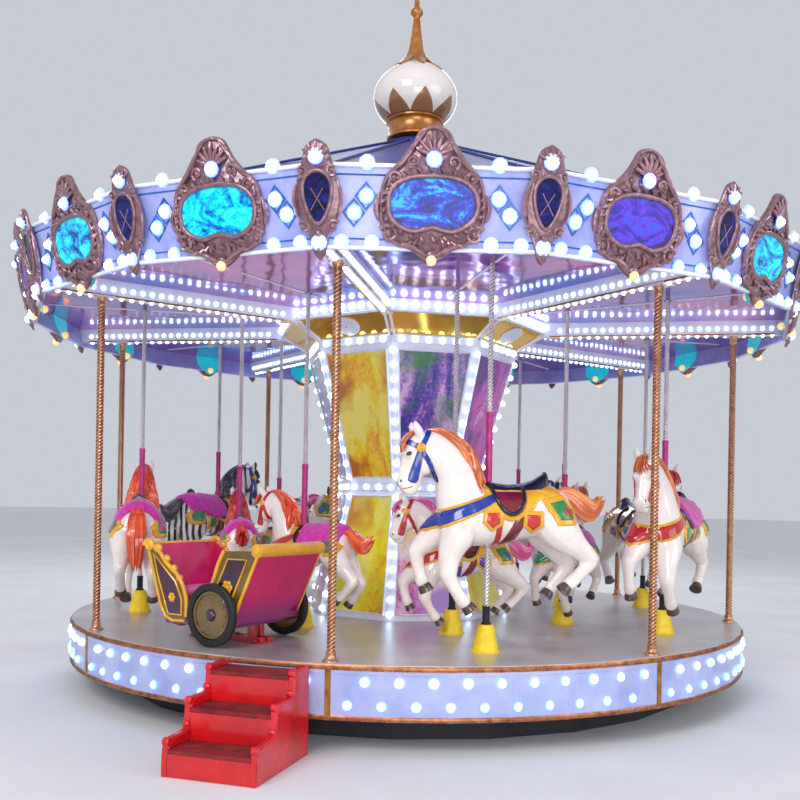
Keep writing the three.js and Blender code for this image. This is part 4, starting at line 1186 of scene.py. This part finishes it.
def horse_bridle(shape, hide):
    """Broad bridle straps that meet at a gold rosette on each cheek."""
    rosette = (0.483, 0.448)
    for tip, halves in (((0.566, 0.490), (0.018, 0.019)), ((0.412, 0.580), (0.018, 0.018)),
                        ((0.402, 0.300), (0.016, 0.017))):
        belt(shape, hide, rosette, tip, halves, 0.008, 3)
    for side in (-1, 1):
        flank_pad(shape, hide, [(0.464, 0.444), (0.501, 0.452), (0.561, 0.262), (0.566, 0.236),
                                (0.545, 0.222), (0.508, 0.219), (0.494, 0.240)], side, 0.009, 3)
        hub = touch(hide, (rosette[0], 0, rosette[1]), (0, side, 0), 0.006)
        shape.ball(hub, (0.033, 0.011, 0.033), 1, around=16, down=8)
        shape.ball(hub + Vector((0, side * 0.007, 0)), (0.016, 0.008, 0.016), 1, around=12, down=6)
    return shape


def horse_face(shape, hide):
    """Eyes in their lids, nostrils, mouth line and hooves."""
    for side in (-1, 1):
        eye = touch(hide, (0.564, 0, 0.408), (0, side, 0), -0.003)
        shape.ball(eye, (0.0215, 0.0098, 0.0150), 0, around=14, down=8)
        ring = []
        for a in [2 * math.pi * k / 18 for k in range(18)]:
            ring.append(eye + Vector((0.0245 * math.cos(a), side * 0.0030,
                                      0.0175 * math.sin(a) - 0.004 * math.cos(a))))
        shape.tube(ring, 0.0045, 6, 2, closed=True)
        nostril = touch(hide, (0.608, 0, 0.232), (0, side, 0), -0.003)
        shape.ball(nostril, (0.008, 0.006, 0.012), 1, around=10, down=6)
        mouth = [touch(hide, (x, 0, z), (0, side, 0), 0.0005) for x, z in
                 ((0.600, 0.180), (0.586, 0.184), (0.566, 0.186), (0.548, 0.190), (0.532, 0.198))]
        shape.tube(mouth, [0.0015, 0.0028, 0.0028, 0.0028, 0.0015], 6, 1)
    for side, points in LEGS:
        (x0, z0, _), (x1, z1, _) = points[-2], points[-1]
        way = Vector((x1 - x0, 0, z1 - z0)).normalized()
        ankle = Vector((x1, side * 0.124, z1))
        shape.tube([ankle - way * 0.012, ankle - way * 0.002, ankle + way * 0.022, ankle + way * 0.046],
                   [0.035, 0.042, 0.048, 0.051], 14, 1)
    return shape


def horse_blanket(hide):
    """A quilted velour blanket laid over the saddle, sunk a little between its lines of stitching."""
    blanket = Shape()

    def rise(f, g):
        quilt = 0.006 * abs(math.sin(f * 14)) * abs(math.sin(g * 11 + 0.4 * math.sin(f * 9)))
        return 0.030 + 0.034 * math.exp(-(g / 0.45) ** 2) + quilt + 0.004 * math.sin(7 * g + 5 * f)

    rows = over_back(blanket, hide, -0.045, -0.520, lambda f: 88 + 10 * math.sin(5 * f) - 8 * f, rise, 0, 25)
    wide = max(sum((b - a).length for a, b in zip(row, row[1:])) for row in rows)
    deep = max(sum((b[k] - a[k]).length for a, b in zip(rows, rows[1:])) for k in range(33))
    area = 0.0
    for a, b in zip(rows, rows[1:]):
        for k in range(32):
            area += (a[k + 1] - a[k]).cross(b[k] - a[k]).length / 2
            area += (b[k + 1] - b[k]).cross(b[k + 1] - a[k + 1]).length / 2
    return blanket, wide, deep, area


MARKINGS = {
    "stripes": ("ShaderNodeTexWave", {"Scale": 5.2, "Distortion": 3.2, "Detail": 1.5, "bands_direction": "X"},
                0.55),
    "patches": ("ShaderNodeTexNoise", {"Scale": 4.0, "Detail": 1.0}, 0.54),
}


def gel(name, low, high, marking=None):
    """Gloss gel coat over a brushed base colour, and on some coats a marking in charcoal."""
    coat = mottled(surface(name, high, 0.16, Coat_Weight=0.7, Coat_Roughness=0.06), low, high, 0.18, 0.04)
    if marking:
        kind, settings, cut = MARKINGS[marking]
        place = add(coat, "ShaderNodeTexCoord")
        pattern = add(coat, kind, settings, {"Vector": place.outputs["Object"]})
        edge = add(coat, "ShaderNodeMapRange", {"From Min": cut - 0.01, "From Max": cut + 0.01},
                   {"Value": pattern.outputs["Fac"]})
        mixed = add(coat, "ShaderNodeMixRGB", {"Color2": srgb("#2a2326")},
                    {"Fac": edge.outputs["Result"], "Color1": source(coat, "Base Color")})
        feed(coat, "Base Color", mixed.outputs["Color"])
    return coat


# One coat is white gel coat tinted pink, a painted pink reflection of the light on it.
coats = {key: gel(key + "_gel_coat", low, high, marking) for key, low, high, marking in (
    ("white", "#e4d6ce", "#f6ede6", None), ("cream", "#e3cdb0", "#f4e6cf", None),
    ("white_painted_pink_light", "#e8c4c4", "#f8e6e2", None), ("striped", "#e9dfd6", "#faf6f0", "stripes"),
    ("patched", "#e9dfd6", "#faf6f0", "patches"))}
hairs = {
    "orange": (gel("orange_mane_paint", "#b04c1c", "#d86c34"), gel("amber_mane_paint", "#cc6a30", "#ec9250")),
    "red": (gel("red_mane_paint", "#a01414", "#d8301c"), gel("scarlet_mane_paint", "#cc2c1c", "#f05430")),
    "flame": (gel("flame_mane_paint", "#bc3410", "#ea5a20"), gel("ember_mane_paint", "#dc4a1c", "#fa7840")),
    "pink": (gel("pink_mane_paint", "#b8246a", "#e64a94"), gel("rose_mane_paint", "#d85a98", "#f48abc")),
    "grey": (gel("charcoal_mane_paint", "#2a262c", "#4a444e"), gel("ash_mane_paint", "#4a464e", "#77707c")),
}
hoof_paint = gel("hoof_paint", "#3a2a22", "#5a4234")
eye_paint = mottled(surface("black_eye_gloss", "#0c0a0b", 0.04, Coat_Weight=1.0), "#0a0809", "#1c1516", 0.01)
edge_gold = gel("gold_harness_paint", "#d08c10", "#f4b81c")
saddle_leather = gel("dark_saddle_paint", "#0b0d1c", "#181c34")
maroon_flap = gel("maroon_flap_paint", "#5a0e1c", "#8a2030")
cloths = {key: gel(key + "_cloth_paint", low, high) for key, low, high in (
    ("red", "#a81820", "#d8362c"), ("green", "#1c6a38", "#2f9a52"), ("purple", "#4a1f86", "#7a3fc0"),
    ("blue", "#16399a", "#2f68d0"), ("pink", "#c01c6c", "#ee4a98"))}
straps = {key: gel(key + "_strap_paint", low, high) for key, low, high in (
    ("blue", "#0e2680", "#1c40a8"), ("red", "#9c141c", "#d02c2c"), ("green", "#176a4a", "#2a9a70"))}
pole_chrome = mottled(surface("twisted_nickel_plate", "#ece6e0", 0.3, 0.6), "#d6cec8", "#f8f4f0", 0.06, 0.08)
# The nickel for the poles' grooves is darker, as painted shade in them.
nickel_in_painted_shade = mottled(surface("nickel_groove_painted_shade", "#a09490", 0.5, 0.6), "#8a7e7a", "#b2a8a4", 0.06, 0.08)
grip_sleeve = mottled(surface("magenta_grip_plastic", "#b01a72", 0.35), "#94125c", "#c42884", 0.05, 0.12)
velour = mottled(surface("magenta_velour", "#cc22a0", 0.8, Sheen_Weight=0.4), "#b01488", "#e238b4", 0.03, 0.5,
                 0.003)

# Each horse's coat, hair, cloth and straps, and how far it rests above the middle height of its ring.
HORSES = {
    "horse_outer_1": ("white", "orange", "red", "blue", 0.120),
    "horse_outer_2": ("white", "orange", "green", "red", 0.020),
    "horse_outer_3": ("white", "red", "blue", "blue", -0.030),
    "horse_outer_4": ("patched", "grey", "red", "blue", -0.120),
    "horse_outer_5": ("white", "pink", "blue", "red", 0.050),
    "horse_outer_6": ("striped", "grey", "green", "blue", -0.020),
    "horse_outer_7": ("white", "flame", "pink", "red", -0.080),
    "horse_inner_1": ("white", "pink", "purple", "red", -0.060),
    "horse_inner_2": ("white", "red", "green", "green", -0.050),
    "horse_inner_3": ("white_painted_pink_light", "orange", "blue", "red", 0.080),
    "horse_inner_4": ("cream", "pink", "red", "blue", 0.030),
    "horse_inner_5": ("white", "orange", "green", "red", -0.080),
    "horse_inner_6": ("white_painted_pink_light", "red", "red", "green", -0.090),
    "horse_inner_7": ("white", "red", "pink", "blue", -0.020),
    "horse_inner_8": ("white", "flame", "pink", "red", -0.020),
}
BLANKETS = ["horse_outer_2", "horse_outer_6", "horse_outer_7", "horse_inner_2", "horse_inner_7",
            "horse_inner_8"]
poured = horse_casting()
hide = BVHTree.FromPolygons([v.co for v in poured.vertices], [tuple(f.vertices) for f in poured.polygons])
swept_hair = horse_mane(Shape())
hanging_hair = horse_mane(Shape(), hanging=True)
harness_shape = horse_bridle(horse_saddle(Shape(), hide), hide)
face_shape = horse_face(Shape(), hide)
for name, ring, degrees in CUPS:
    coat, hair, cloth, tack, rest = HORSES[name]
    scale, middle = (1.0, 1.330) if "outer" in name else (0.78, 1.180)
    height = middle + rest
    seat = Matrix.Translation(at(ring, degrees, height)) @ spun(degrees + 180) @ Matrix.Scale(scale, 4)
    body = name + "_on_pole"
    casting = poured.copy()
    casting.materials.append(coats[coat])
    casting.transform(seat)
    horse = bpy.data.objects.new(name.replace("horse", "casting"), casting)
    bpy.context.scene.collection.objects.link(horse)
    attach(horse, body)
    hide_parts(name)
    hair_shape = hanging_hair if name == "horse_outer_7" else swept_hair
    hair_shape.copied(seat).make(name.replace("horse", "mane_and_tail"), list(hairs[hair]), body, smooth=60,
                                 slot="horse_gloss")
    harness_shape.copied(seat).make(name.replace("horse", "harness"),
                                    [cloths[cloth], edge_gold, saddle_leather, straps[tack], cloths["pink"],
                                     cloths["green"], maroon_flap], body, smooth=60, slot="horse_gloss")
    face_shape.copied(seat).make(name.replace("horse", "eyes_and_hooves"),
                                 [eye_paint, hoof_paint, coats[coat]], body, smooth=60, slot="horse_gloss")
    if name in BLANKETS:
        cover, wide, deep, area = horse_blanket(hide)
        blanket = cover.copied(seat).make(name.replace("horse", "blanket"), [velour], body, smooth=80,
                                          slot="horse_gloss")
    spot = at(ring, degrees, 0)
    # Each pole's grooves take the darker nickel, a painted shade.
    pole = twisted_rod(spot.x, spot.y, 0.440 + rest, 3.300 + rest, 225, 3, 0.0169, 0.0027, 0.075, rest, 2)
    low = height + 0.18 * scale
    high = height + BACK * scale + 0.500
    pole.turned([(0.018, low), (0.0245, low), (0.0255, low + 0.02), (0.023, low + 0.04), (0.023, high - 0.04),
                 (0.0255, high - 0.02), (0.0245, high), (0.018, high)], 20, 1,
                matrix=Matrix.Translation(spot))
    pole.make(name.replace("horse", "pole"), [pole_chrome, grip_sleeve, nickel_in_painted_shade], body, smooth=60,
              slot="horse_gloss")


# Chariot: two benches face to face on a sled floor, moulded in fibreglass shells with rolled gold edges.
# It is bolted through a red stand to the deck, and its cart wheels are show wheels that don't turn.
# The magenta gel coat is painted purple towards the shells' foot, a painted shade where the hull curves
# under.
magenta_gel = gel("magenta_gel_coat", "#bc0450", "#d8106a")
place = add(magenta_gel, "ShaderNodeTexCoord")
split = add(magenta_gel, "ShaderNodeSeparateXYZ", links={"Vector": place.outputs["Object"]})
painted_shade_fade = add(magenta_gel, "ShaderNodeMapRange", {"From Min": 0.70, "From Max": 0.92},
                 {"Value": split.outputs["Z"]})
painted_shade_tone = add(magenta_gel, "ShaderNodeMixRGB", {"Color1": srgb("#701266")},
                {"Fac": painted_shade_fade.outputs["Result"], "Color2": source(magenta_gel, "Base Color")})
feed(magenta_gel, "Base Color", painted_shade_tone.outputs["Color"])
plum_gel = gel("plum_side_paint", "#240822", "#42123a")
dark_wheel = mottled(surface("black_wheel_paint", "#121112", 0.5), "#0c0b0c", "#1c1a1c", 0.1, 0.1)
dull_gold = gel("dull_gold_paint", "#54400f", "#785c1e")
red_stand = gel("red_stand_paint", "#9c1018", "#d02430")
pink_vinyl = mottled(surface("pink_vinyl", "#e85a9c", 0.4, Sheen_Weight=0.1), "#d84488", "#f07ab4", 0.06, 0.2,
                     0.004)
CART_DEGREES = 315
cart = Matrix.Translation(at(2.290, CART_DEGREES, DECK)) @ spun(CART_DEGREES + 180)
WIDE = 0.330
AXLE_X = -0.14
AXLE_Z = 0.214


def in_plane(profile, y):
    """A side profile in x and z, at a distance `y` from the cart's middle line."""
    return [Vector((x, y, z)) for x, z in profile]


def plank(shape, profile, y0, y1, finish=0):
    """A shell with its side profile, from `y0` to `y1` across the cart."""
    shape.skin([in_plane(profile, y0), in_plane(profile, y1)], finish, around=True, capped=True)


def across_cart(x, z, reach):
    """A line from one side of the cart to the other."""
    return [(x, reach * (i / 5 - 1), z) for i in range(11)]


rear_side = bent([(-0.235, 0.14), (-0.02, 0.14), (-0.030, 0.30), (-0.10, 0.42), (-0.15, 0.55),
                  (-0.20, 0.640)], 20) + [(-0.49, 0.65), (-0.43, 0.50), (-0.365, 0.36), (-0.315, 0.25),
                                          (-0.275, 0.18)]
front_side = bent([(0.14, 0.145), (0.14, 0.30), (0.21, 0.44), (0.33, 0.53), (0.42, 0.62),
                   (0.520, 0.655)], 20) + [(0.475, 0.52), (0.425, 0.37), (0.385, 0.25), (0.335, 0.17),
                                           (0.28, 0.14)]
shells = Shape()
for y0, y1 in ((-WIDE, -WIDE + 0.028), (WIDE - 0.028, WIDE)):
    plank(shells, rear_side, y0, y1)
    plank(shells, front_side, y0, y1)
plank(shells, [(-0.505, 0.63), (-0.442, 0.50), (-0.377, 0.36), (-0.327, 0.25), (-0.285, 0.17),
               (-0.225, 0.122), (-0.15, 0.105), (-0.15, 0.13), (-0.215, 0.15), (-0.25, 0.19),
               (-0.29, 0.27), (-0.345, 0.385), (-0.41, 0.52), (-0.47, 0.65)], -WIDE, WIDE)
plank(shells, [(0.520, 0.65), (0.485, 0.52), (0.437, 0.37), (0.397, 0.25), (0.345, 0.165), (0.285, 0.120),
               (0.20, 0.105), (0.20, 0.13), (0.27, 0.15), (0.315, 0.19), (0.360, 0.27), (0.400, 0.385),
               (0.448, 0.52), (0.485, 0.662)], -WIDE, WIDE)
shells.box((-0.24, -WIDE, 0.12), (0.34, WIDE, 0.16))
shells.box((-0.30, -WIDE + 0.002, 0.15), (-0.07, WIDE - 0.002, 0.31))
shells.box((0.17, -WIDE + 0.002, 0.15), (0.355, WIDE - 0.002, 0.31))
shells.moved(cart)
shells.make("chariot_shells", [magenta_gel], "turntable", ["chariot_body"], smooth=35, bevel=0.006,
            slot="chariot_gloss")

rear_panel = [(-0.405, 0.590), (-0.240, 0.590), (-0.195, 0.50), (-0.140, 0.40), (-0.085, 0.30),
              (-0.075, 0.185), (-0.205, 0.185), (-0.27, 0.31), (-0.34, 0.45)]
front_panel = [(0.180, 0.185), (0.180, 0.29), (0.24, 0.41), (0.35, 0.50), (0.455, 0.59), (0.41, 0.44),
               (0.36, 0.32), (0.305, 0.185)]
rear_hem = [(-0.492, 0.62), (-0.434, 0.50), (-0.369, 0.36), (-0.319, 0.25), (-0.277, 0.178), (-0.215, 0.140),
            (-0.03, 0.140)]
front_hem = [(0.15, 0.145), (0.27, 0.140), (0.337, 0.168), (0.388, 0.25), (0.428, 0.37), (0.478, 0.52),
             (0.513, 0.63)]
edging = Shape()
edging.tube(across_cart(-0.487, 0.652, WIDE + 0.01), 0.045, 16)
edging.tube(across_cart(0.507, 0.660, WIDE), 0.014, 10)
for side in (-1, 1):
    edging.ball((-0.487, side * (WIDE + 0.012), 0.652), (0.030, 0.012, 0.030), around=14, down=8)
    for profile, thick in ((rear_side[2:20], 0.015), (front_side[1:20], 0.015), (rear_hem, 0.012),
                           (front_hem, 0.012)):
        edging.tube(in_plane(profile, side * (WIDE + 0.001)), thick, 8)
    for outline, panel in ((rear_side, rear_panel), (front_side, front_panel)):
        plank(edging, outline, side * (WIDE - 0.004), side * (WIDE + 0.003), 2)
        plank(edging, panel, side * (WIDE - 0.002), side * (WIDE + 0.007), 1)
        edging.tube(in_plane(panel, side * (WIDE + 0.007)), 0.007, 6, closed=True)
    for cx, cz, size in ((-0.235, 0.40, 0.052), (0.275, 0.30, 0.036)):
        for k in range(6):
            a = 2 * math.pi * k / 6
            edging.ball((cx + size * 0.6 * math.cos(a), side * (WIDE + 0.005), cz + size * 0.6 * math.sin(a)),
                        (size * 0.38, 0.006, size * 0.38), around=8, down=5)
        edging.ball((cx, side * (WIDE + 0.007), cz), (size * 0.3, 0.008, size * 0.3), around=8, down=5)
    curl = [(0.505 + 0.042 * (1 - 0.8 * f) * math.cos(9 * f), 0.648 + 0.042 * (1 - 0.8 * f) * math.sin(9 * f))
            for f in [k / 20 for k in range(21)]]
    edging.tube(in_plane(curl, side * (WIDE + 0.006)), [0.020 - 0.008 * k / 20 for k in range(21)], 8)
    for x, z, size in ((0.430, 0.632, 0.040), (0.345, 0.560, 0.036), (0.270, 0.498, 0.032),
                       (0.212, 0.435, 0.028)):
        edging.ball((x, side * (WIDE - 0.006), z), (size, 0.024, size * 0.85), around=14, down=8)
edging.tube([(AXLE_X, y, AXLE_Z) for y in (-WIDE - 0.015, 0, WIDE + 0.015)], 0.018, 12)
edging.moved(cart)
edging.make("chariot_gold_work", [edge_gold, plum_gel, dull_gold], "turntable", smooth=50,
            slot="chariot_gloss")

stand = Shape()
for y in (-0.04, 0.04):
    stand.box((-0.30, y - 0.022, 0.0005), (0.36, y + 0.022, 0.04))
    for x in (-0.225, 0.255):
        stand.box((x, y - 0.022, 0.03), (x + 0.05, y + 0.022, 0.125))
for x in (-0.26, 0.10, 0.32):
    stand.box((x - 0.03, -0.09, 0.001), (x + 0.03, 0.09, 0.012))
    for y in (-0.075, 0.075):
        stand.turned([(0, 0.012), (0.012, 0.012), (0.012, 0.022), (0, 0.024)], 6,
                     matrix=Matrix.Translation((x, y, 0)))
stand.moved(cart)
stand.make("chariot_stand", [red_stand], "turntable", smooth=30, bevel=0.003, slot="chariot_gloss")

for name, low, high in (("chariot_seat_rear", (-0.275, -0.295, 0.312), (-0.072, 0.295, 0.372)),
                        ("chariot_seat_front", (0.172, -0.295, 0.312), (0.345, 0.295, 0.372))):
    pad = Shape()
    rows = []
    for i in range(13):
        f = i / 12 * 2 - 1
        row = []
        for k in range(33):
            g = k / 32 * 2 - 1
            crown = (1 - abs(f) ** 4) * (1 - abs(g) ** 6)
            channel = 0.010 * math.exp(-((abs(g * 3 % 2 - 1) - 1) ** 2) * 60)
            x = (low[0] + high[0]) / 2 + f * (high[0] - low[0]) / 2
            y = (low[1] + high[1]) / 2 + g * (high[1] - low[1]) / 2
            rise = (high[2] - low[2] - 0.020) * crown ** 0.45 - channel * crown
            row.append(Vector((x, y, low[2] + 0.020 + rise)))
        rows.append(row)
    pad.skin(rows, 0)
    top_edge = ([rows[0][k] for k in range(33)] + [rows[i][32] for i in range(1, 13)]
                + [rows[12][k] for k in range(31, -1, -1)] + [rows[i][0] for i in range(11, 0, -1)])
    foot_edge = [Vector((p.x, p.y, low[2])) for p in top_edge]
    pad.skin([top_edge, foot_edge], 0, around=True)
    start = len(pad.points)
    pad.points.extend(foot_edge)
    pad.faces.append(tuple(range(start, start + len(foot_edge))))
    pad.finishes.append(0)
    pad.moved(cart)
    cushion = pad.make(name, [pink_vinyl], "turntable", smooth=50, slot="chariot_gloss")

for name, side in (("inner", 1), ("outer", -1)):
    wheel = Shape()
    for profile, sides, finish in (
            ([(0.160, 0.006), (0.200, 0.002), (0.2115, 0.008), (0.2115, 0.038), (0.200, 0.045),
              (0.165, 0.041), (0.160, 0.030), (0.160, 0.006)], 48, 0),
            ([(0.0, 0.010), (0.162, 0.010), (0.162, 0.026), (0.0, 0.030)], 48, 2),
            ([(0.148, 0.026), (0.156, 0.036), (0.148, 0.040), (0.140, 0.036), (0.140, 0.026)], 48, 2),
            ([(0.0, 0.054), (0.020, 0.052), (0.034, 0.044), (0.040, 0.030), (0.046, 0.028)], 32, 1)):
        wheel.turned(profile, sides, finish)
    for k in range(12):
        a = 2 * math.pi * k / 12
        wheel.ball((0.118 * math.cos(a), 0.118 * math.sin(a), 0.029), (0.009, 0.009, 0.006), 2, around=8,
                   down=5)
    wheel.moved(cart @ Matrix.Translation((AXLE_X, 0, AXLE_Z))
                @ Matrix.Rotation(-side * math.pi / 2, 4, "X") @ Matrix.Translation((0, 0, WIDE + 0.0225)))
    wheel.make(f"chariot_show_wheel_{name}", [dark_wheel, plum_gel, dull_gold], "turntable",
               [f"chariot_wheel_{name}"], smooth=40, slot="wheel_black")


# Boarding steps: a red box stair in fibreglass that stands on the ground beside the deck, with three treads
# and two scroll-edged cheeks. Gloss gel coat, scuffed dull on the treads where feet land; the treads are also
# painted a darker red as painted shade.
step_gel = mottled(surface("red_gel_coat", "#c80c14", 0.2, Coat_Weight=0.5), "#b20810", "#d8141c", 0.25, 0.08,
                   rough=(0.18, 0.35))
# The treads' darker red is painted shade; their rougher, bumpy finish is scuffing.
step_tread_scuffs_and_painted_shade = mottled(surface("red_tread_scuffs_and_painted_shade", "#7c0a10", 0.45), "#5e080c", "#96181a", 0.08, 0.4, 0.01,
                       rough=(0.4, 0.7))
GOING = 0.235
NEAR = 2.892
TREADS = (0.155, 0.337, 0.515)
cheeks = Shape()
edge_line = bent([(0.0, 0.548), (0.10, 0.548), (0.185, 0.540), (0.225, 0.505), (0.232, 0.44),
                  (0.245, 0.402), (0.30, 0.394), (0.40, 0.392), (0.455, 0.362), (0.468, 0.29),
                  (0.480, 0.228), (0.54, 0.215), (0.64, 0.210), (0.690, 0.180), (0.704, 0.10),
                  (0.704, 0.0)], 46)
outline = [(p.x, max(p.y, 0.0005)) for p in edge_line] + [(0.0, 0.0005)]
beside = spun(-30.4)
for x0 in (-0.290, 0.256):
    cheeks.skin([[(x, -NEAR - run, z) for run, z in outline] for x in (x0, x0 + 0.034)], 0, around=True,
                capped=True)
    for x in (x0 - 0.001, x0 + 0.035):
        cheeks.tube([(x, -NEAR - run + 0.012, z - 0.012) for run, z in outline[1:45]], 0.005, 6)
    for run, z, size in ((0.208, 0.528, 0.026), (0.236, 0.418, 0.019), (0.442, 0.374, 0.026),
                         (0.470, 0.244, 0.019), (0.676, 0.190, 0.026)):
        cheeks.turned([(0, -0.004), (size * 0.8, -0.004), (size, 0.002), (size, 0.032), (size * 0.8, 0.038),
                       (0, 0.038)], 14, matrix=(Matrix.Translation((x0, -NEAR - run, z))
                                                @ Matrix.Rotation(math.pi / 2, 4, "Y")))
cheeks.moved(beside)
cheeks.make("step_cheeks", [step_gel], "base", ["step_side_left", "step_side_right"], smooth=40, bevel=0.006,
            slot="step_red")
flight = Shape()
for index, top in enumerate(TREADS):
    back = -NEAR - (2 - index) * GOING
    flight.box((-0.2555, back - GOING + 0.004, 0.002), (0.2555, back - 0.0005, top - 0.024), 0)
    flight.box((-0.2555, back - GOING + 0.0004, top - 0.024), (0.2555, back - 0.0005, top), 1)
    for k in range(9):
        y = back - 0.030 - k * 0.021
        flight.box((-0.235, y - 0.004, top - 0.001), (0.235, y + 0.004, top + 0.003), 1)
flight.moved(beside)
flight.make("step_flight", [step_gel, step_tread_scuffs_and_painted_shade], "base", ["step_tread_1", "step_tread_2", "step_tread_3"],
            smooth=30, bevel=0.004, slot="step_red")
